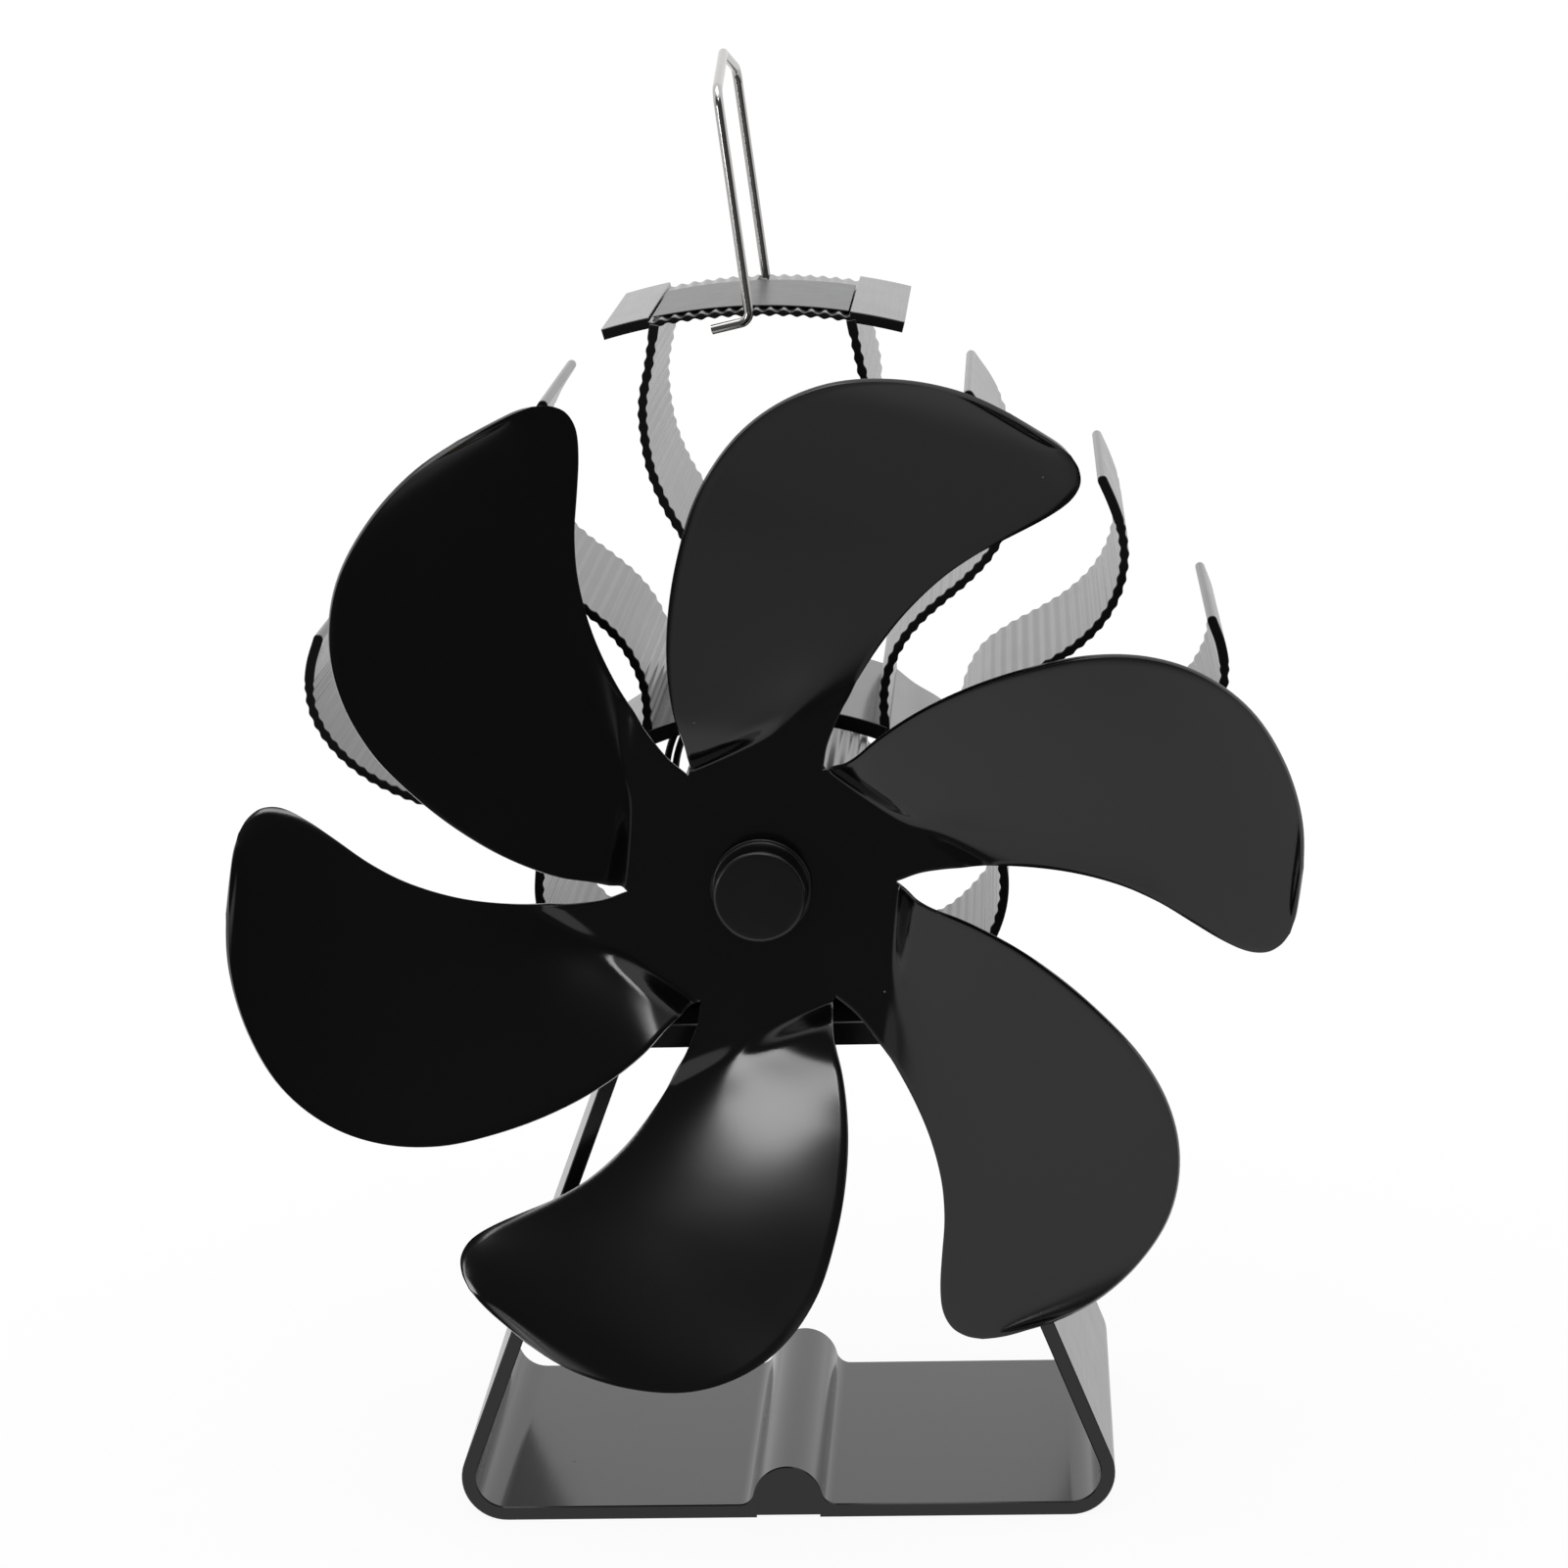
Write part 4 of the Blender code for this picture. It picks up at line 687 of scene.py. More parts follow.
class RosetteTool(NodeTool):
    """Repeats one sector round the shaft's axis and welds the copies."""

    def __init__(self, finish: Material) -> None:
        """Builds the tree.

        Args:
            finish: Material of what it makes.
        """
        super().__init__("blade_rosette", finish, Count="Int", Start="Float")
        g, count = self.graph, self.given("Count")
        points = g.wire("GeometryNodePoints", Count=count)
        angle = self.given("Start") - g.wire("GeometryNodeInputIndex") * FULL_TURN / count
        turn = g.wire("FunctionNodeEulerToRotation",
                      Euler=g.wire("ShaderNodeCombineXYZ", Y=-1 * angle))
        copies = g.wire("GeometryNodeInstanceOnPoints", Points=points,
                        Instance=self.given("Geometry"), Rotation=turn)
        real = g.wire("GeometryNodeRealizeInstances", Geometry=copies)
        self.close(g.wire("GeometryNodeMergeByDistance", Geometry=real, Distance=10 * WELD))


def grey(level: float) -> tuple[float, float, float, float]:
    """Neutral colour."""
    return level, level, level, 1


@dataclass(frozen=True)
class Finish:
    """Finish whose patterns read Object coordinates."""

    name: str

    def surface(self, g: Graph, at: Wire) -> dict:
        """Shader inputs by name, with _ for a space, from the coordinates."""
        raise NotImplementedError

    def make(self) -> Material:
        """Builds the material.

        Returns:
            The material, with one shader on the surface's inputs.
        """
        material = bpy.data.materials.new(self.name)
        g = Graph.of(material)
        at = g.wire("ShaderNodeTexCoord", output="Object")
        shader = g.wire("ShaderNodeBsdfPrincipled", **self.surface(g, at))
        g.node("ShaderNodeOutputMaterial", Surface=shader)
        return material


@dataclass(frozen=True)
class AnodisedExtrusion(Finish):
    """Black anodised aluminium with die lines along Y, faint mottling and a few dust specks."""

    tint: tuple = (0.0022, 0.0022, 0.0023, 1)
    pale: tuple = (0.0045, 0.0045, 0.0047, 1)
    dust_tint: tuple = (0.20, 0.19, 0.18, 1)
    roughness: float = 0.17
    spread: float = 0.09
    line_scale: tuple = (1, 0.02, 1)
    line_size: float = 0.00045
    line_height: float = 0.000004
    patch_size: float = 0.012
    grain_size: float = 0.00025
    grain_height: float = 0.0000012
    speck: tuple = (0.0060, 0.00020)

    def surface(self, g: Graph, at: Wire) -> dict:
        """Shader inputs from the coordinates."""
        lines = g.noise(g.wire("ShaderNodeMapping", Vector=at, Scale=self.line_scale),
                        self.line_size, 3)
        patches = g.noise(at, self.patch_size, 4, 0.6)
        dust = g.specks(at, *self.speck)
        rough = self.roughness + self.spread * (0.6 * lines + 0.8 * patches - 0.7) + 0.3 * dust
        normal = g.bump(g.noise(at, self.grain_size, 1), self.grain_height,
                        g.bump(lines, self.line_height))
        colour = g.mix(dust * 0.5, g.mix(patches, self.tint, self.pale), self.dust_tint)
        return {"Base_Color": colour, "Roughness": rough, "Normal": normal}


@dataclass(frozen=True)
class GlossPaint(Finish):
    """Gloss black paint on pressed sheet: orange peel, a slow waviness and dust specks."""

    tint: tuple = grey(0.0014)
    haze_tint: tuple = grey(0.0024)
    dust_tint: tuple = (0.16, 0.155, 0.15, 1)
    roughness: float = 0.14
    spread: float = 0.06
    haze_size: float = 0.03
    peel: tuple = (0.0008, 0.0000013)
    wave: tuple = (0.022, 0.000035)
    speck: tuple = (0.0065, 0.00020)
    speck_height: float = 0.00002

    def surface(self, g: Graph, at: Wire) -> dict:
        """Shader inputs from the coordinates."""
        haze = g.noise(at, self.haze_size, 3)
        dust = g.specks(at, *self.speck)
        wavy = g.bump(g.noise(at, self.wave[0], 1), self.wave[1])
        peeled = g.bump(g.noise(at, self.peel[0]), self.peel[1], wavy)
        return {"Base_Color": g.mix(dust * 0.6, g.mix(haze, self.tint, self.haze_tint),
                                    self.dust_tint),
                "Roughness": self.roughness + self.spread * (haze - 0.5) + 0.3 * dust,
                "Normal": g.bump(dust, self.speck_height, peeled)}


@dataclass(frozen=True)
class BareMetal(Finish):
    """Bare or plated metal with fine lines along one direction and a slight stain."""

    tint: tuple
    stain: tuple
    roughness: float
    spread: float
    line_scale: tuple = (1, 1, 1)
    line_size: float = 0.0003
    line_height: float = 0.000002
    patch_size: float = 0.004

    def surface(self, g: Graph, at: Wire) -> dict:
        """Shader inputs from the coordinates."""
        lines = g.noise(g.wire("ShaderNodeMapping", Vector=at, Scale=self.line_scale),
                        self.line_size)
        patches = g.noise(at, self.patch_size, 4, 0.6)
        return {"Base_Color": g.mix(patches, self.tint, self.stain), "Metallic": 1.0,
                "Roughness": self.roughness + self.spread * (0.5 * lines + 0.7 * patches - 0.6),
                "Normal": g.bump(lines, self.line_height)}


@dataclass(frozen=True)
class Moulded(Finish):
    """Finely grained plastic, rubber, ceramic, ferrite or foil."""

    tint: tuple
    shade: tuple
    roughness: float
    spread: float = 0.12
    grain_size: float = 0.00018
    grain_height: float = 0.000004
    metallic: float = 0.0
    patch_size: float = 0.003

    def surface(self, g: Graph, at: Wire) -> dict:
        """Shader inputs from the coordinates."""
        grain = g.noise(at, self.grain_size)
        patches = g.noise(at, self.patch_size, 4, 0.6)
        return {"Base_Color": g.mix(0.3 * grain + 0.7 * patches, self.tint, self.shade),
                "Roughness": self.roughness + self.spread * (patches - 0.5),
                "Metallic": self.metallic, "Normal": g.bump(grain, self.grain_height)}


FINISHES = (
    AnodisedExtrusion("black_anodised"),
    GlossPaint("black_paint"),
    Moulded("black_plastic", grey(0.0022), grey(0.0038), 0.32, 0.08, 0.00022, 0.0000025),
    Moulded("black_rubber", grey(0.014), (0.030, 0.029, 0.028, 1), 0.62, 0.15),
    BareMetal("stainless", (0.54, 0.53, 0.52, 1), (0.46, 0.45, 0.44, 1), 0.17, 0.04,
              (1, 1, 0.03), line_height=0.0000001),
    Moulded("label_grey", (0.060, 0.060, 0.061, 1), (0.085, 0.085, 0.086, 1), 0.34, 0.10,
            0.0003, 0.000002, 0.3),
    BareMetal("zinc", (0.52, 0.53, 0.55, 1), (0.40, 0.40, 0.39, 1), 0.34, 0.16),
    Moulded("ferrite", (0.045, 0.045, 0.050, 1), (0.070, 0.068, 0.066, 1), 0.6, 0.15,
            0.0002, 0.000006),
    Moulded("ceramic", (0.74, 0.74, 0.71, 1), (0.66, 0.65, 0.61, 1), 0.5),
    Moulded("graphite", (0.040, 0.040, 0.043, 1), (0.065, 0.065, 0.068, 1), 0.42,
            grain_size=0.0003, metallic=0.3),
    BareMetal("bronze", (0.42, 0.28, 0.15, 1), (0.26, 0.17, 0.10, 1), 0.42, 0.18),
    BareMetal("brass", (0.58, 0.43, 0.19, 1), (0.42, 0.30, 0.13, 1), 0.30, 0.14),
    BareMetal("copper", (0.56, 0.24, 0.12, 1), (0.38, 0.15, 0.08, 1), 0.34, 0.14,
              (1, 0.05, 1), 0.0004, 0.00001),
    Moulded("nylon", (0.62, 0.60, 0.55, 1), (0.54, 0.52, 0.46, 1), 0.46, 0.1),
)


class Workshop:
    """The finishes by slot and the tools, which every sub-assembly shares."""

    def __init__(self) -> None:
        """Makes the finishes and the tools."""
        self.finishes = {finish.name: finish.make() for finish in FINISHES}
        self.section = SectionTool(self.finishes["black_anodised"])
        self.wire = WireTool(self.finishes["stainless"])
        self.rosette = RosetteTool(self.finishes["black_paint"])

    def dress_frame(self) -> None:
        """Gives every carried-over CAD node the finish of its slot."""
        slots = {part["node"]: part["material_slot"] for part in frame["record"]["subparts"]}
        for name, item in frame["nodes"].items():
            finish = self.finishes[slots[name]]
            if not item.material_slots:
                item.data.materials.append(finish)
            for slot in item.material_slots:
                slot.material = finish

    def add(self, name: str, mesh: Mesh, slot: str, body: Body, *nodes: str) -> None:
        """Adds a finished piece to the model.

        Args:
            name: The piece's name.
            mesh: Its mesh, in place.
            slot: Its material slot.
            body: The body that it rides on.
            *nodes: The CAD nodes that it replaces.
        """
        mesh.name = name
        mesh.materials.clear()
        mesh.materials.append(self.finishes[slot])
        for polygon in mesh.polygons:
            polygon.material_index = 0
        item = linked(name, mesh)
        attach(item, body.value)
        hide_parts(*nodes)
        LOG.info("%s: %d faces on %s, for %s", name, len(mesh.polygons), body.value,
                 ", ".join(nodes))


@dataclass
class Stand:
    """Leaning extruded ring with a block on top and a round ridge on its floor."""

    half_width: float = 0.0526
    wall: float = 0.0023
    corner: float = 0.0072
    edge_break: float = 0.00018
    window_top: float = 0.0791
    window_corner: float = 0.0010
    block: float = 0.0038
    block_edge: float = 0.0008
    block_margin: float = 0.00545
    ridge_radius: float = 0.0056
    ridge_height: float = 0.0031
    ridge_fillet: float = 0.0024
    relief: tuple = (0.0051, 0.0004)
    pocket_depth: float = 0.0020
    pocket_half: float = 0.0155
    clamp_half: float = 0.0186
    clamp_bore: float = 0.0025
    top: float = field(init=False)
    lean: float = field(init=False)

    def __post_init__(self) -> None:
        """Leans the sides so that the block ends at its margin past the clamp screws."""
        self.top = self.window_top + self.block
        reach = Vector((self.clamp_half + self.block_margin - self.half_width + self.corner,
                        self.top - self.corner))
        self.lean = math.atan2(reach.y, reach.x) - math.acos(self.corner / reach.length)

    def side(self, height: float, inset: float = 0.0) -> float:
        """Half width of the leaning side at a height, to a plane inset from its outside."""
        x, z = (self.half_width - self.corner + self.corner * math.cos(self.lean),
                self.corner * (1 + math.sin(self.lean)))
        return x - (height - z) * math.tan(self.lean) - inset / math.cos(self.lean)

    def outside(self) -> Outline:
        """Draws the outer loop.

        Returns:
            The loop.
        """
        right = [Vector(self.relief), Vector((self.relief[0], 0))]
        right += arc((self.half_width - self.corner, self.corner), self.corner, -QUARTER_TURN,
                     self.lean, 16)
        edge = (self.side(self.top) - self.block_edge, self.top - self.block_edge)
        right += arc(edge, self.block_edge, 0, QUARTER_TURN, 6)
        return Outline(right + mirrored(right[::-1]))

    def window(self) -> Outline:
        """Draws the opening, with the ridge on its floor.

        Returns:
            The loop.
        """
        fillet_z = self.wall + self.ridge_fillet
        reach = self.ridge_radius + self.ridge_fillet
        fillet_x = math.sqrt(reach ** 2 - (fillet_z - self.ridge_height) ** 2)
        slope = math.atan2(fillet_z - self.ridge_height, fillet_x)
        right = arc((0, self.ridge_height), self.ridge_radius, QUARTER_TURN, slope, 14)[1:]
        right += arc((fillet_x, fillet_z), self.ridge_fillet, slope + math.pi,
                     3 * QUARTER_TURN)[1:]
        right += arc((self.half_width - self.corner, self.corner), self.corner - self.wall,
                     -QUARTER_TURN, self.lean, 14)
        top = (self.side(self.window_top, self.wall) - self.window_corner,
               self.window_top - self.window_corner)
        right += arc(top, self.window_corner, self.lean, QUARTER_TURN, 6)
        crown = [Vector((0, self.ridge_height + self.ridge_radius))]
        return Outline(crown + right + mirrored(right[::-1]))

    def build(self, shop: Workshop) -> None:
        """Extrudes the stand, cuts its pocket and bores, and adds it."""
        low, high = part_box("base_frame")
        middle = (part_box("heat_sink")[0].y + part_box("heat_sink")[1].y) / 2
        mesh = shop.section.extrude([self.outside(), self.window()], low.y, high.y - low.y,
                                    self.edge_break)
        half, above = self.pocket_half, self.top + OVERRUN
        cutters = [box_mesh((-half, middle - half, self.top - self.pocket_depth),
                            (half, middle + half, above)),
                   *bore_pair(self.clamp_bore, self.clamp_half, middle,
                              self.window_top - OVERRUN, above)]
        shop.add("stand_extrusion", with_cuts(mesh, cutters), "black_anodised", Body.STAND,
                 "base_frame")


@dataclass
class HeatSink:
    """Extruded sink: foot, stem, motor tube, bowl, arch, posts, six swept fins and top plate."""

    fin: float = 0.00155
    fin_in_cad: float = 0.0014
    rib_pitch: float = 0.0020
    rib_depth: float = 0.00024
    step: float = 0.00019
    hair: float = 0.00001
    tip_plain: float = 0.0075
    foot: tuple = (0.0215, 0.0838, 0.0883)
    module: tuple = (0.0155, 0.0850)
    lead_channel: tuple = (-0.0074, -0.0026, 0.0016)
    clamp: tuple = (0.0017, 0.0186, 0.0035)
    stem_half: float = 0.0055
    stem_laps: tuple = (0.0020, 0.0008)
    stem_inset: float = 0.0002
    tube_bore: float = 0.0142
    tube_outside: float = 0.0161
    tube_ribs: int = 50
    tube_rib_depth: float = 0.0003
    tube_step: float = 0.00016
    tube_points: int = 240
    bore_points: int = 96
    arch: tuple = (0.0186, 0.1274, 0.0036)
    arch_thickness: float = 0.0024
    waist: tuple = (0.0364, 0.1064)
    post: tuple = (0.0045, 0.0151)
    tip_b: tuple = (0.0328, 0.1799)
    tip_c: tuple = (0.0531, 0.1662)
    tip_d: tuple = (0.0697, 0.1439)
    root_c_percent: int = 54
    plate_half: float = 0.0231
    plate_crown: float = 0.1945
    plate_sag: float = 0.0031
    plate: float = 0.0017
    plate_points: int = 60
    plate_ribbed: tuple = (-0.0159, 0.0149)
    plate_pitch: float = 0.00207
    plate_rib_depth: float = 0.00034
    plate_recess: float = 0.0006
    plate_lap: float = 0.0003
    label_setback: float = 0.0034
    label_shift: float = -0.0005
    label_thickness: float = 0.0002
    label_edge: float = 0.00005
    label_points: int = 24
    shoulder_shares: tuple = ((0, 0), (0.18, 0.13), (0.40, 0.25), (0.61, 0.40), (0.80, 0.58),
                              (0.93, 0.78), (1, 1))
    bowl_shares: tuple = ((0, 0), (-0.02, 0.20), (0.02, 0.39), (0.12, 0.57), (0.26, 0.70),
                          (0.43, 0.82), (0.61, 0.915), (0.81, 0.975), (1, 1))
    post_shares: tuple = (
        (0, 0), (0, 0.085), (0.03, 0.18), (0.14, 0.28), (0.36, 0.37), (0.66, 0.457),
        (0.95, 0.548), (1.14, 0.643), (1.217, 0.748), (1.20, 0.82), (1.11, 0.893), (1, 1))
    fin_b_shares: tuple = (
        (0, 0), (0, 0.105), (0.05, 0.18), (0.187, 0.26), (0.39, 0.33), (0.655, 0.393),
        (0.93, 0.453), (1.194, 0.528), (1.374, 0.62), (1.417, 0.723), (1.345, 0.822),
        (1.20, 0.916), (1, 1))
    fin_c_shares: tuple = (
        (0, 0), (0, 0.10), (0.05, 0.195), (0.16, 0.279), (0.345, 0.342), (0.594, 0.404),
        (0.795, 0.463), (0.973, 0.541), (1.09, 0.635), (1.14, 0.738), (1.123, 0.84),
        (1.07, 0.922), (1, 1))
    fin_d_shares: tuple = (
        (0, 0), (0.11, 0.06), (0.25, 0.157), (0.385, 0.233), (0.527, 0.29), (0.658, 0.34),
        (0.779, 0.40), (0.894, 0.482), (0.985, 0.581), (1.04, 0.686), (1.055, 0.79),
        (1.04, 0.895), (1, 1))

    def plate_height(self, x: float) -> float:
        """Middle of the top plate's thickness at X."""
        radius = (self.plate_half ** 2 + self.plate_sag ** 2) / (2 * self.plate_sag)
        return self.plate_crown - self.plate / 2 - radius + math.sqrt(radius ** 2 - x ** 2)

    def plate_run(self, start: float, end: float, rise: float = 0.0) -> list[Vector]:
        """Part of the top plate's curve, raised by an amount."""
        spots = (start + (end - start) * i / self.plate_points
                 for i in range(self.plate_points + 1))
        return [Vector((x, self.plate_height(x) + rise)) for x in spots]

    def plate_members(self) -> list[tuple[list[Vector], Strip, float]]:
        """Makes the top plate.

        Returns:
            Path, strip and rib depth of its plain ends and of its recessed ribbed middle.
        """
        left, right = self.plate_ribbed
        plain = Strip(self.plate, ribs=(False, False))
        middle = Strip(self.plate - self.plate_recess, self.plate_pitch, (self.plate_lap,) * 2)
        return [(self.plate_run(-self.plate_half, left), plain, 0.0),
                (self.plate_run(right, self.plate_half), plain, 0.0),
                (self.plate_run(left - self.plate_lap, right + self.plate_lap,
                                -self.plate_recess / 2), middle, self.plate_rib_depth)]

    def members(self) -> list[tuple[list[Vector], Strip, float]]:
        """Makes every strip of the sink, overlapping the member that carries it.

        Returns:
            Path, strip and rib depth of each.
        """
        half, end, rise = self.arch
        radius = (half ** 2 + rise ** 2) / (2 * rise)
        opening = math.asin(half / radius)
        lowered = end + rise - radius - (self.arch_thickness - self.fin_in_cad) / 2
        bow = arc((0, lowered), radius, QUARTER_TURN + opening, QUARTER_TURN - opening, 40)
        shoulder = route((half, end), self.waist, self.shoulder_shares)
        bowl = route(self.waist, (self.foot[0], self.foot[1] + self.fin / 2), self.bowl_shares)
        top = self.plate_height(self.post[1]) - self.plate / 4
        post = route((self.post[0], end + rise - self.fin / 4), (self.post[1], top),
                     self.post_shares)
        root_c = tuple(resampled(shoulder, 100)[self.root_c_percent])
        fins = [route(*fin) for fin in (((half, end), self.tip_b, self.fin_b_shares),
                                        (root_c, self.tip_c, self.fin_c_shares),
                                        (self.waist, self.tip_d, self.fin_d_shares))]
        tipped = Strip(self.fin, self.rib_pitch, (Strip.plain[0], self.tip_plain), round_end=True)
        made = [(bow, Strip(self.arch_thickness, ribs=(False, False)), 0.0)]
        for side in (-1, 1):
            wall = Strip(self.fin, self.rib_pitch, ribs=(side < 0, side > 0))
            strips = [(shoulder + bowl[1:], wall), (post, Strip(self.fin, self.rib_pitch)),
                      *((fin, tipped) for fin in fins)]
            made += [(mirrored(path, side), strip, self.rib_depth) for path, strip in strips]
        return made + self.plate_members()

    def tube(self) -> list[Outline]:
        """Draws the motor tube.

        Returns:
            Its ribbed outside and round bore.
        """
        count = self.tube_points
        outer = arc((0, SHAFT_HEIGHT), self.tube_outside, 0, FULL_TURN, count)[:-1]
        runs = [self.tube_outside * FULL_TURN * i / count for i in range(count)]
        bore = arc((0, SHAFT_HEIGHT), self.tube_bore, 0, FULL_TURN, self.bore_points)[:-1]
        return [Outline(outer, runs, [1.0] * count), Outline(bore)]

    def foot_cutters(self, middle: float, back: float) -> list[Mesh]:
        """Makes the cutters of the module's recess, the leads' channel and the screws' holes.

        Args:
            middle: Y of the sink's middle.
            back: Y of its back.

        Returns:
            The cutters.
        """
        under = self.foot[1] - OVERRUN
        half, top = self.module
        left, right, height = self.lead_channel
        radius, spread, depth = self.clamp
        return [box_mesh((-half, middle - half, under), (half, middle + half, top)),
                box_mesh((left, middle, under), (right, back + OVERRUN, self.foot[1] + height)),
                *bore_pair(radius, spread, middle, under, self.foot[1] + depth)]

    def build(self, shop: Workshop) -> None:
        """Extrudes the members a hair apart in depth, cuts the foot and adds one piece."""
        low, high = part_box("heat_sink")
        extrude, depth = shop.section.extrude, high.y - low.y
        meshes = []
        for number, (path, strip, ribs) in enumerate(self.members()):
            hair = self.hair * (number + 1)
            meshes.append(extrude([strip.outline(path)], low.y + hair, depth - 2 * hair,
                                  pitch=strip.fitted_pitch(path), rib_depth=ribs, step=self.step))
        meshes.append(extrude(self.tube(), low.y, depth, rib_depth=self.tube_rib_depth,
                              pitch=FULL_TURN * self.tube_outside / self.tube_ribs,
                              step=self.tube_step))
        foot = extrude([Outline.rectangle(*self.foot)], low.y, depth)
        meshes.append(with_cuts(foot, self.foot_cutters((low.y + high.y) / 2, high.y)))
        stem = Outline.rectangle(self.stem_half, self.foot[2] - self.stem_laps[0],
                                 SHAFT_HEIGHT - self.tube_bore - self.stem_laps[1])
        meshes.append(extrude([stem], low.y + self.stem_inset, depth - 2 * self.stem_inset))
        shop.add("sink_extrusion", joined(meshes), "black_anodised", Body.STAND, "heat_sink")

    def build_nameplate(self, shop: Workshop) -> None:
        """Adds the bare plate that lies on the top plate's ridges."""
        low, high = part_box("nameplate")
        rise = self.plate / 2 - self.plate_recess + self.hair
        spots = [self.label_shift + high.x * (i / self.label_points - 1)
                 for i in range(2 * self.label_points + 1)]
        below = [Vector((x, self.plate_height(x) + rise)) for x in spots]
        above = [Vector((x, self.plate_height(x) + rise + self.label_thickness))
                 for x in reversed(spots)]
        front = low.y + self.label_setback
        mesh = shop.section.extrude([Outline(below + above)], front, high.y - front,
                                    self.label_edge)
        shop.add("bare_nameplate", mesh, "label_grey", Body.STAND, "nameplate")


@dataclass
class Blades:
    """Pressed sheet with six blades, each folded out of the hub's plane.

    Each row of an edge's table is a share of the tip radius, degrees, and a share of the rake.
    """

    count: int = 6
    tip_radius: float = 0.0820
    thickness: float = 0.0009
    rake_front: float = 0.0118
    rake_back: float = 0.0045
    start: float = math.radians(1.2)
    columns: int = 28
    steps: int = 7
    tip_steps: int = 24
    hub_rings: int = 9
    bore: float = 0.0039
    soft_edge: float = 0.00020
    soft_angle: float = math.radians(50)
    hinge: tuple = (0.70, 1.0)
    hinge_soft: tuple = (0.08, 0.35)
    hinge_reach: tuple = (0.30, 0.62)
    relaxed_from: tuple = (0.50, 0.72)
    relax_rounds: int = 80
    fold_at: tuple = (-0.0102, 0.0179)
    fold_rise: float = math.radians(22)
    fold_width: float = 0.0030
    outer: tuple = (
        (0.249, 120.0, 0.00), (0.268, 116.6, 0.20), (0.310, 113.3, 0.45), (0.370, 111.4, 0.65),
        (0.462, 107.8, 0.80), (0.559, 103.7, 0.90), (0.656, 99.6, 0.97), (0.754, 95.5, 1.00),
        (0.842, 90.8, 0.97), (0.911, 85.6, 0.92), (0.962, 79.5, 0.83), (0.989, 72.9, 0.68),
        (1.000, 66.3, 0.49), (0.996, 60.2, 0.27))
    inner: tuple = (
        (0.249, 60.0, 0.00), (0.290, 62.6, 0.10), (0.330, 63.3, 0.16), (0.380, 63.2, 0.20),
        (0.462, 62.4, 0.20), (0.559, 60.6, 0.22), (0.656, 57.9, 0.35), (0.730, 55.2, 0.52),
        (0.802, 52.2, 0.76), (0.860, 50.2, 0.92), (0.909, 49.2, 1.00), (0.946, 49.4, 0.90),
        (0.970, 50.6, 0.70), (0.984, 52.3, 0.45))
    tip: tuple = (0.991, 55.0, 0.0)

    def edge_point(self, share: Vector, rake: float) -> Vector:
        """Point on an edge, from its row in the edge's table and the edge's rake."""
        reach, angle = share[0] * self.tip_radius, math.radians(share[1])
        return Vector((reach * math.cos(angle), rake * share[2], reach * math.sin(angle)))

    @staticmethod
    def raked(t: float, hinge: float, soft: float) -> float:
        """Share of the outer edge's rake across the blade: even up to the hinge, then flat."""
        near, at, far = (math.hypot(hinge - place, soft) + hinge - place for place in (0, t, 1))
        return (at - far) / (near - far)

    def folded(self, point: Vector) -> Vector:
        """Point with its depth held at zero on the hub's side of the fold."""
        x, z = point.x - self.fold_at[0], point.z - self.fold_at[1]
        past = z * math.cos(self.fold_rise) - x * math.sin(self.fold_rise)
        return Vector((point.x, point.y * smooth_step(past, 0.0, self.fold_width), point.z))

    def rows(self) -> list[list[Vector]]:
        """Makes one blade.

        Returns:
            Rows of points across it, from the root to the rounded tip.
        """
        outer, inner = ([self.edge_point(share, rake) for share in catmull(shares, self.steps)]
                        for shares, rake in ((self.outer, -self.rake_front),
                                             (self.inner, self.rake_back)))
        rows = []
        for first, last in zip(outer[:-1], inner):
            share = smooth_step(Vector((first.x, first.z)).length / self.tip_radius,
                                *self.hinge_reach)
            hinge, soft = (ends[0] + (ends[1] - ends[0]) * share
                           for ends in (self.hinge, self.hinge_soft))
            row = []
            for t in (column / self.columns for column in range(self.columns + 1)):
                point = first.lerp(last, t)
                point.y = first.y * self.raked(t, hinge, soft) + last.y * t
                row.append(self.folded(point))
            rows.append(row)
        middle = self.edge_point(Vector(self.tip), self.rake_back)
        around = catmull([outer[-self.steps], outer[-1], middle, inner[-1], inner[-self.steps]],
                         self.tip_steps)
        rows.append(resampled(around[self.tip_steps:-self.tip_steps], self.columns))
        return self.relaxed(rows)

    def relaxed(self, rows: list[list[Vector]]) -> list[list[Vector]]:
        """Evens out the depth towards the tip, between edges that keep theirs.

        Args:
            rows: Rows of points from the root to the tip.

        Returns:
            The same rows.
        """
        last = len(rows) - 1
        near = []
        for number in range(1, last):
            hold = smooth_step(number / last, *self.relaxed_from)
            for column in range(1, self.columns if hold else 1):
                point = rows[number][column]
                around = (rows[number][column - 1], rows[number][column + 1],
                          rows[number - 1][column], rows[number + 1][column])
                weights = [1 / max(WELD, math.hypot(other.x - point.x, other.z - point.z))
                           for other in around]
                near.append((point, hold, [(other, weight / sum(weights))
                                           for other, weight in zip(around, weights)]))
        for _ in range(self.relax_rounds):
            for point, hold, around in near:
                level = sum(other.y * weight for other, weight in around)
                point.y += hold * (level - point.y)
        return rows

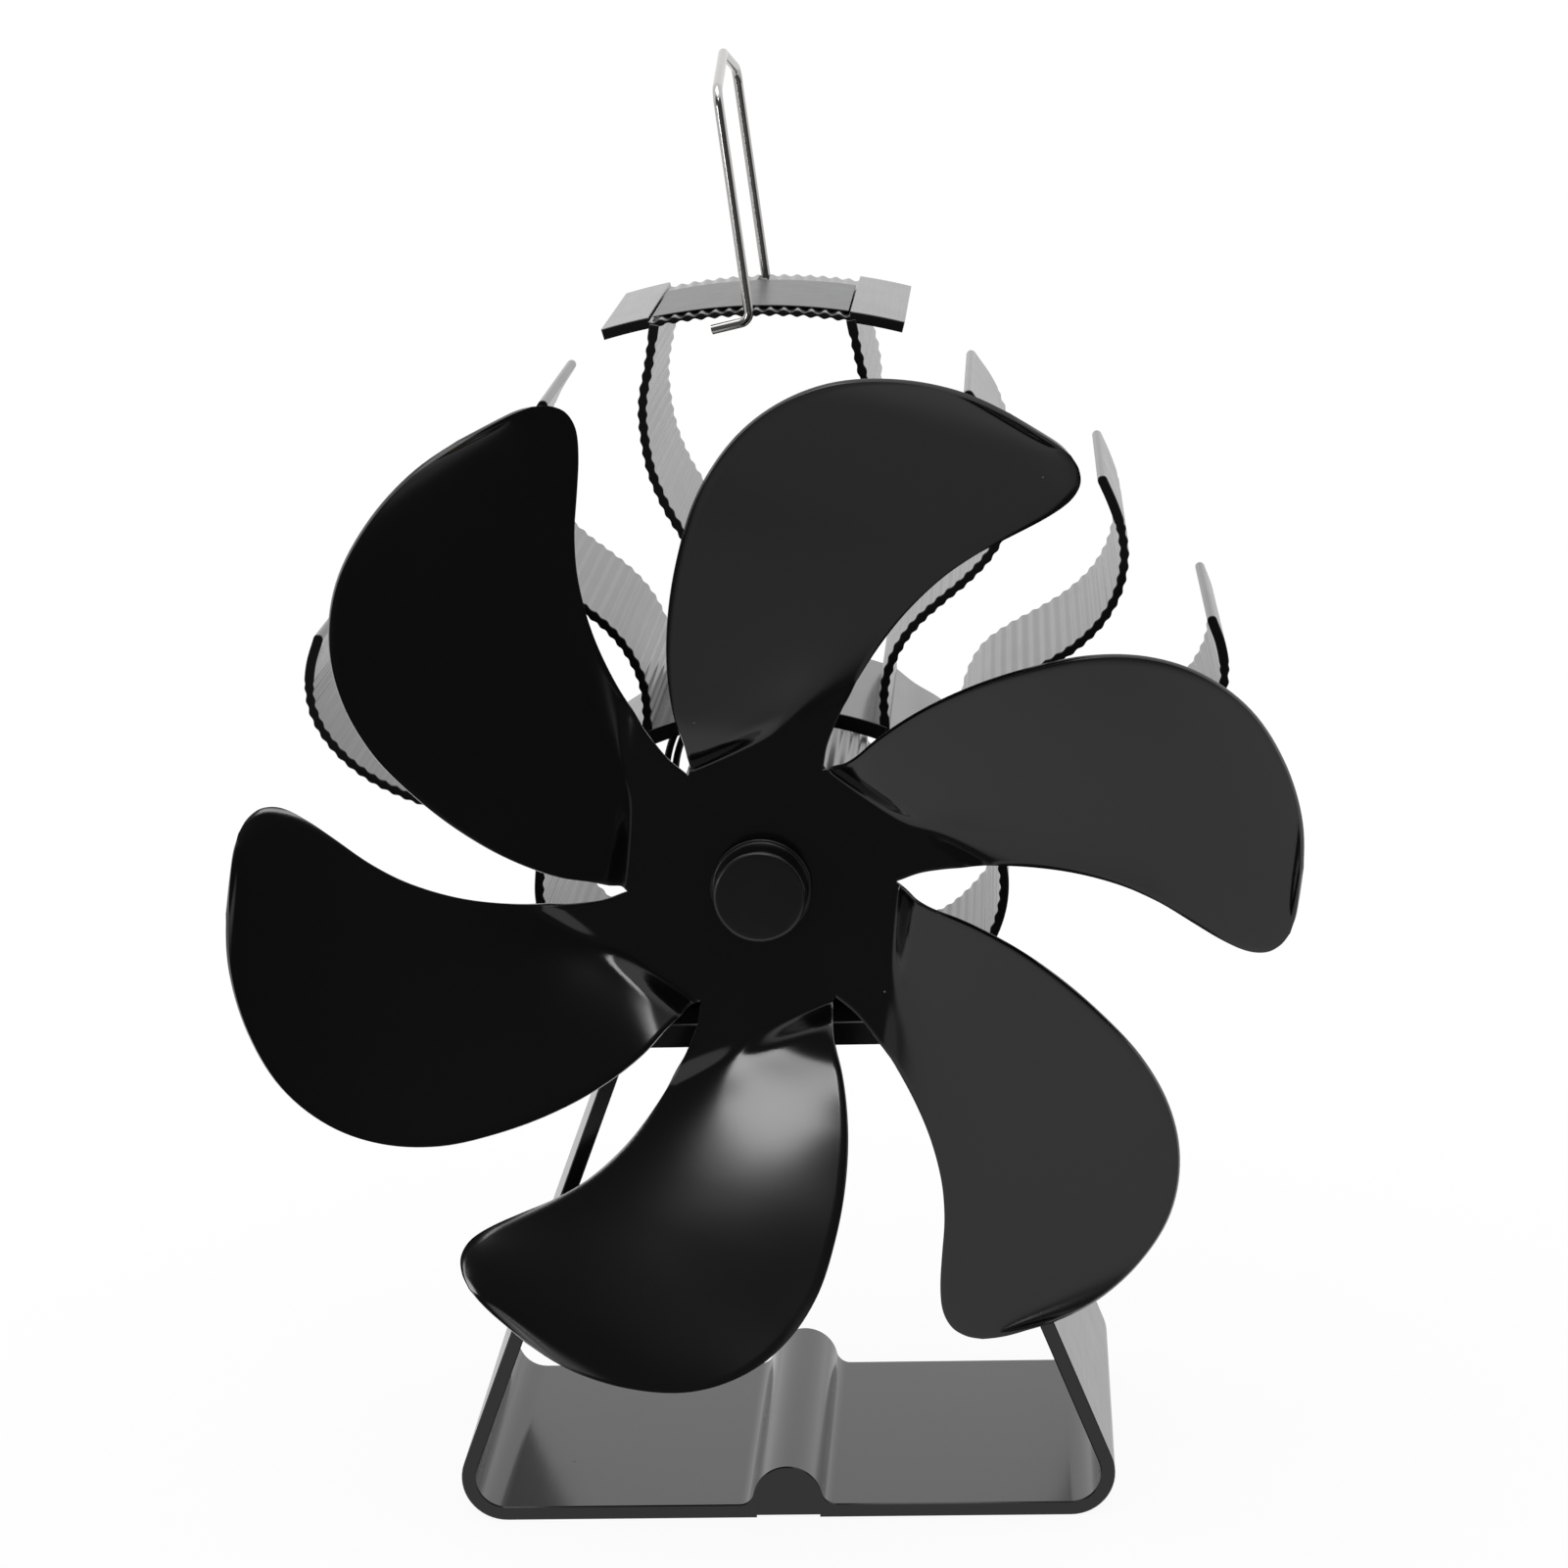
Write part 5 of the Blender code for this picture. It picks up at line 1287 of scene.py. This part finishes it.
    def sector(self) -> Mesh:
        """Makes one blade with its sixth of the hub.

        Returns:
            An open mesh.
        """
        rows = self.rows()
        rings = [[(point.normalized() * self.bore).lerp(point, ring / self.hub_rings)
                  for point in rows[0]] for ring in range(self.hub_rings)]
        mesh = bpy.data.meshes.new("sector")
        with edited(mesh) as form:
            grid = [[form.verts.new(point) for point in row] for row in rings + rows]
            for below, above in zip(grid, grid[1:]):
                for i in range(self.columns):
                    form.faces.new((below[i], below[i + 1], above[i + 1], above[i]))
        return mesh

    def build(self, shop: Workshop) -> None:
        """Repeats the sector, gives the sheet its thickness and soft edges, and adds it."""
        sheet = shop.rosette.apply(self.sector(), Count=self.count, Start=self.start)
        with edited(sheet) as form:
            bmesh.ops.recalc_face_normals(form, faces=form.faces)
        behind_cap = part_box("hub_cap")[1].y + CLEARANCE + self.thickness / 2
        sheet.transform(Matrix.Translation((0, behind_cap, SHAFT_HEIGHT)))
        holder = linked("sheet", sheet)
        solid = holder.modifiers.new("sheet", "SOLIDIFY")
        solid.thickness, solid.offset = self.thickness, 0
        soft = holder.modifiers.new("edges", "BEVEL")
        soft.width, soft.segments = self.soft_edge, 2
        soft.limit_method, soft.angle_limit = "ANGLE", self.soft_angle
        shop.add("pressed_blades", seal(bake(holder)), "black_paint", Body.ROTOR, "fan_blades")


@dataclass
class Hub:
    """Cap over the nut, with a wider base ring."""

    radius: float = 0.0071
    edge: float = 0.0007
    face_margin: float = 0.00154
    wall: float = 0.0011
    rim: float = 0.0077
    rim_length: float = 0.0010
    rim_break: float = 0.0001
    fillet: float = 0.0004
    steps: int = 96

    def build(self, shop: Workshop) -> None:
        """Turns the cap and adds it."""
        low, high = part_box("hub_cap")
        length = high.y - low.y
        shoulder, bore = length - self.rim_length, self.radius - self.wall
        rounds = (arc((self.radius - self.edge, self.edge), self.edge, -QUARTER_TURN, 0, 8)
                  + arc((self.radius + self.fillet, shoulder - self.fillet), self.fillet,
                        math.pi, QUARTER_TURN, 6))
        profile = [(0.0, 0.0), (self.radius - self.face_margin, 0.0), *map(tuple, rounds),
                   (self.rim - self.rim_break, shoulder), (self.rim, shoulder + self.rim_break),
                   (self.rim, length), (bore, length), (bore, self.wall), (0.0, self.wall)]
        shop.add("cap_turned", turned_mesh(profile, low.y, self.steps), "black_plastic",
                 Body.ROTOR, "hub_cap")


@dataclass
class CarryHandle:
    """Bent bright wire hooked round the top plate's front and back edges."""

    radius: float = 0.00075
    sides: int = 28
    lean: float = math.radians(6.3)
    shoulder: float = 0.0351
    apex: float = 0.0392
    apex_radius: float = 0.0016
    bend: float = 0.0030
    bend_steps: int = 14
    hook: float = 0.0017
    hook_length: float = 0.0060
    hook_reach: float = 0.0010
    hook_drop: float = 0.0007
    pivot: tuple = (-0.0003, 0, 0.1923)

    def path(self) -> list[Vector]:
        """Draws the middle line of the wire.

        Returns:
            Its points, from the front hook over the top to the back hook.
        """
        low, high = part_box("carry_handle")
        front, back = low.y + self.radius, high.y - self.radius
        tail = (-self.hook_length, -self.hook_drop)
        corners = [(Vector((x, y, z)), radius) for x, y, z, radius in (
            (tail[0], front + self.hook_reach, tail[1], 0), (0, front, 0, self.hook),
            (0, front, self.shoulder, self.bend),
            (0, (front + back) / 2, self.apex, self.apex_radius),
            (0, back, self.shoulder, self.bend), (0, back, 0, self.hook),
            (tail[0], back - self.hook_reach, tail[1], 0))]
        points = [corners[0][0]]
        for (before, _), (corner, radius), (after, _) in zip(corners, corners[1:], corners[2:]):
            one, two = (before - corner).normalized(), (after - corner).normalized()
            half = one.angle(two) / 2
            centre = corner + (one + two).normalized() * (radius / math.sin(half))
            first, last = ((corner + way * radius / math.tan(half) - centre).normalized()
                           for way in (one, two))
            points += [centre + first.slerp(last, i / self.bend_steps) * radius
                       for i in range(self.bend_steps + 1)]
        points.append(corners[-1][0])
        lean = Matrix.Rotation(-self.lean, 3, "Y")
        return [lean @ point + Vector(self.pivot) for point in points]

    def build(self, shop: Workshop) -> None:
        """Sweeps the wire and adds it."""
        shop.add("bent_wire", shop.wire.sweep(self.path(), self.radius, self.sides), "stainless",
                 Body.HANDLE, "carry_handle")


@dataclass
class MotorLeads:
    """Two rubber leads from the module, up the motor tube's left side to the motor's terminals.

    They bend round the tube at the outer and inner lead's degrees.
    """

    radius: float = 0.0006
    sides: int = 16
    spacing: float = 0.0015
    bulge: float = 0.0185
    turn: float = 0.0170
    dip: float = 0.0040
    turn_share: float = 0.25
    setback: float = 0.0016
    channel: float = -0.0050
    outer: tuple = (222, 195, 170, 148, 126, 104, 82, 62, 44, 28, 16)
    inner: tuple = (222, 195, 170, 148)

    def path(self, word: str, side: int, degrees: tuple) -> list[Vector]:
        """Draws the route of one lead.

        Args:
            word: right or left, the terminal that it ends at.
            side: 1 for the outer lead on the right terminal, -1 for the inner one.
            degrees: Where it bends round the tube.

        Returns:
            Its points.
        """
        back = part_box("heat_sink")[1].y
        rear = back + self.setback
        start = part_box(f"motor_lead_{word}")[0].y
        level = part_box("motor_lead_right")[0].z + self.radius
        x = self.channel - side * self.spacing / 2
        reach = self.bulge + (self.spacing if side > 0 else 0)
        end_reach = self.turn if side > 0 else reach
        places = [Vector((x, y, level)) for y in (start, (start + back) / 2, back)]
        places.append(Vector((x - self.spacing / 2, rear,
                              level + self.spacing * (1 if side > 0 else 2))))
        for degree in degrees:
            past_top = max(0, (90 - degree) / (90 - degrees[-1]))
            bend = reach + (end_reach - reach) * past_top
            angle = math.radians(degree)
            places.append(Vector((bend * math.cos(angle), rear,
                                  SHAFT_HEIGHT + bend * math.sin(angle))))
        low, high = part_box(f"terminal_{word}")
        end = Vector(((low.x + high.x) / 2, high.y + CLEARANCE, SHAFT_HEIGHT))
        entry = Vector((end.x, rear, SHAFT_HEIGHT + self.dip))
        places += [places[-1].lerp(entry, self.turn_share), entry,
                   Vector((end.x, (rear + end.y) / 2, SHAFT_HEIGHT + self.radius)), end]
        return catmull(places, 10)

    def build(self, shop: Workshop) -> None:
        """Sweeps both leads and adds them."""
        for word, side, degrees in (("right", 1, self.outer), ("left", -1, self.inner)):
            mesh = shop.wire.sweep(self.path(word, side, degrees), self.radius, self.sides)
            shop.add(f"lead_{word}", mesh, "black_rubber", Body.STAND, f"motor_lead_{word}")


@dataclass
class Studio:
    """Camera at the photograph's angle, pale floor, soft lamps and a white surround."""

    focal_pixels: float = 4496.2
    image_side: int = 1601
    sensor: float = 36
    clip: tuple = (0.01, 50)
    eye: tuple = (0.0410445, -0.6810230, 0.2766645)
    yaw: float = math.radians(3.281)
    pitch: float = math.radians(13.178)
    roll: float = math.radians(1.842)
    floor_half: float = 8
    floor_tone: tuple = grey(0.86)
    shadow_fade: float = 0.07
    shadow_reach: tuple = (0.10, 0.26)
    table_edge: float = 0.20
    table_slant: float = 0.47
    slant_from: float = -0.06
    table_blur: tuple = (-0.02, 0.05)
    table_near: tuple = (0.0, 0.07)
    aside: tuple = (0.08, 0.22)
    strip_at: tuple = (0.13, 0.20)
    strip_slope: float = 0.25
    strip_blur: tuple = (0.03, 0.10)
    strip_from: tuple = (0.12, 0.20)
    table_tone: tuple = grey(0.80)
    strip_tone: tuple = grey(0.50)
    room_left: tuple = grey(0.095)
    room_right: tuple = grey(0.055)
    room_front: tuple = (0.05, 0.45)
    room_top: tuple = (0.62, 0.80)
    room_sides: tuple = (-0.45, 0.10)
    fill: float = 0.75
    lamps: tuple = (
        ("overhead", (-0.15, -0.10, 1.10), (0, 0, 0.1), (0.9, 0.7), 3.2),
        ("left_softbox", (-0.69, -0.695, 0.178), (0, -0.05, 0.065), (0.16, 0.19), 0.93),
        ("high_softbox", (0.06, -0.88, 0.97), (0, -0.03, 0.09), (0.26, 0.17), 1.1))

    def camera(self) -> None:
        """Adds the camera."""
        turn = (Matrix.Rotation(self.yaw, 3, "Z") @ Matrix.Rotation(-self.pitch, 3, "X")
                @ Matrix.Rotation(self.roll, 3, "Y"))
        across, ahead, up = turn.col
        data = bpy.data.cameras.new("camera")
        data.sensor_width = self.sensor
        data.lens = self.focal_pixels * self.sensor / self.image_side
        data.clip_start, data.clip_end = self.clip
        item = linked("camera", data)
        axes = Matrix((across, up, -ahead)).transposed()
        item.matrix_world = Matrix.Translation(self.eye) @ axes.to_4x4()
        bpy.context.scene.camera = item

    def reflected(self, g: Graph, x: Wire, ahead: Wire) -> Wire:
        """Makes the floor's colour in reflections.

        Args:
            g: The floor's graph.
            x: Place to the right.
            ahead: Place towards the camera.

        Returns:
            A pale table up to its edge, a paler strip and a dim room beyond it.
        """
        edge = self.table_edge + self.table_slant * g.math("MAXIMUM", self.slant_from - x, 0.0)
        beyond = g.smooth(ahead - edge, *self.table_blur)
        aside = g.smooth(x, *self.aside)
        middle = x - self.strip_at[0] - self.strip_slope * (ahead - self.strip_at[1])
        strip = 1 - g.smooth(g.math("ABSOLUTE", middle), *self.strip_blur)
        room = g.mix(aside, self.room_left, self.room_right)
        table = g.mix(aside, self.table_tone, self.room_left)
        tone = g.mix(strip * g.smooth(ahead, *self.strip_from), g.mix(beyond, table, room),
                     self.strip_tone)
        return g.mix(g.smooth(ahead, *self.table_near), self.table_tone, tone)

    def floor(self) -> None:
        """Adds the floor: white to the camera apart from the shadow, and dimmer in gloss."""
        mesh = bpy.data.meshes.new("floor")
        with edited(mesh) as form:
            bmesh.ops.create_grid(form, x_segments=1, y_segments=1, size=self.floor_half)
        material = bpy.data.materials.new("floor")
        g = Graph.of(material)
        camera, glossy = g.wires("ShaderNodeLightPath", "Is Camera Ray", "Is Glossy Ray")
        x, y = g.wires("ShaderNodeSeparateXYZ", "X", "Y",
                       Vector=g.wire("ShaderNodeTexCoord", output="Object"))
        ahead = -1 * y
        far = g.smooth(g.math("SQRT", x * x + ahead * ahead), *self.shadow_reach)
        plain = g.wire("ShaderNodeBsdfDiffuse", Color=self.floor_tone)
        seen = g.wire("ShaderNodeEmission", Color=WHITE, Strength=1.0)
        shown = g.wire("ShaderNodeEmission", Color=self.reflected(g, x, ahead))
        white = camera * (1 - self.shadow_fade + self.shadow_fade * far)
        g.node("ShaderNodeOutputMaterial",
               Surface=g.blend(glossy, g.blend(white, plain, seen), shown))
        mesh.materials.append(material)
        linked("floor", mesh)

    def world(self) -> None:
        """White surround, with a dim room in front and above the camera for reflections."""
        world = bpy.data.worlds.new("studio")
        bpy.context.scene.world = world
        g = Graph.of(world)
        camera, glossy, through = g.wires("ShaderNodeLightPath", "Is Camera Ray", "Is Glossy Ray",
                                          "Is Transmission Ray")
        x, y, z = g.wires("ShaderNodeSeparateXYZ", "X", "Y", "Z",
                          Vector=g.wire("ShaderNodeTexCoord", output="Generated"))
        room = g.smooth(-1 * y, *self.room_front) * (1 - g.smooth(z, *self.room_top))
        dim = g.mix(g.smooth(x, *self.room_sides), self.room_left, self.room_right)
        tone = g.mix(room, WHITE, dim)
        fill, white, gloss = (g.wire("ShaderNodeBackground", Color=colour, Strength=strength)
                              for colour, strength in ((WHITE, self.fill), (WHITE, 1.0),
                                                       (tone, 1.0)))
        seen = g.blend(g.math("MAXIMUM", camera, through), fill, white)
        g.node("ShaderNodeOutputWorld", Surface=g.blend(glossy, seen, gloss))

    def lamp(self, name: str, place: tuple, target: tuple, size: tuple, power: float) -> None:
        """Adds one soft rectangular lamp.

        Args:
            name: Its name.
            place: Where it stands.
            target: Where it points.
            size: Its width and height.
            power: Its power in watts.
        """
        data = bpy.data.lights.new(name, "AREA")
        data.shape = "RECTANGLE"
        data.size, data.size_y = size
        data.energy = power
        aim = (Vector(target) - Vector(place)).to_track_quat("-Z", "Y")
        linked(name, data).matrix_world = Matrix.Translation(place) @ aim.to_matrix().to_4x4()

    def build(self) -> None:
        """Adds everything round the fan."""
        self.camera()
        self.floor()
        self.world()
        for lamp in self.lamps:
            self.lamp(*lamp)
        bpy.context.scene.view_settings.view_transform = "Standard"


def main() -> None:
    """Builds the studio and every piece."""
    logging.basicConfig(level=logging.INFO, format="%(message)s")
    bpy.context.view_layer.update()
    shop = Workshop()
    shop.dress_frame()
    Studio().build()
    Stand().build(shop)
    sink = HeatSink()
    sink.build(shop)
    sink.build_nameplate(shop)
    for assembly in (Blades(), Hub(), CarryHandle(), MotorLeads()):
        assembly.build(shop)


if __name__ == "__main__":
    main()
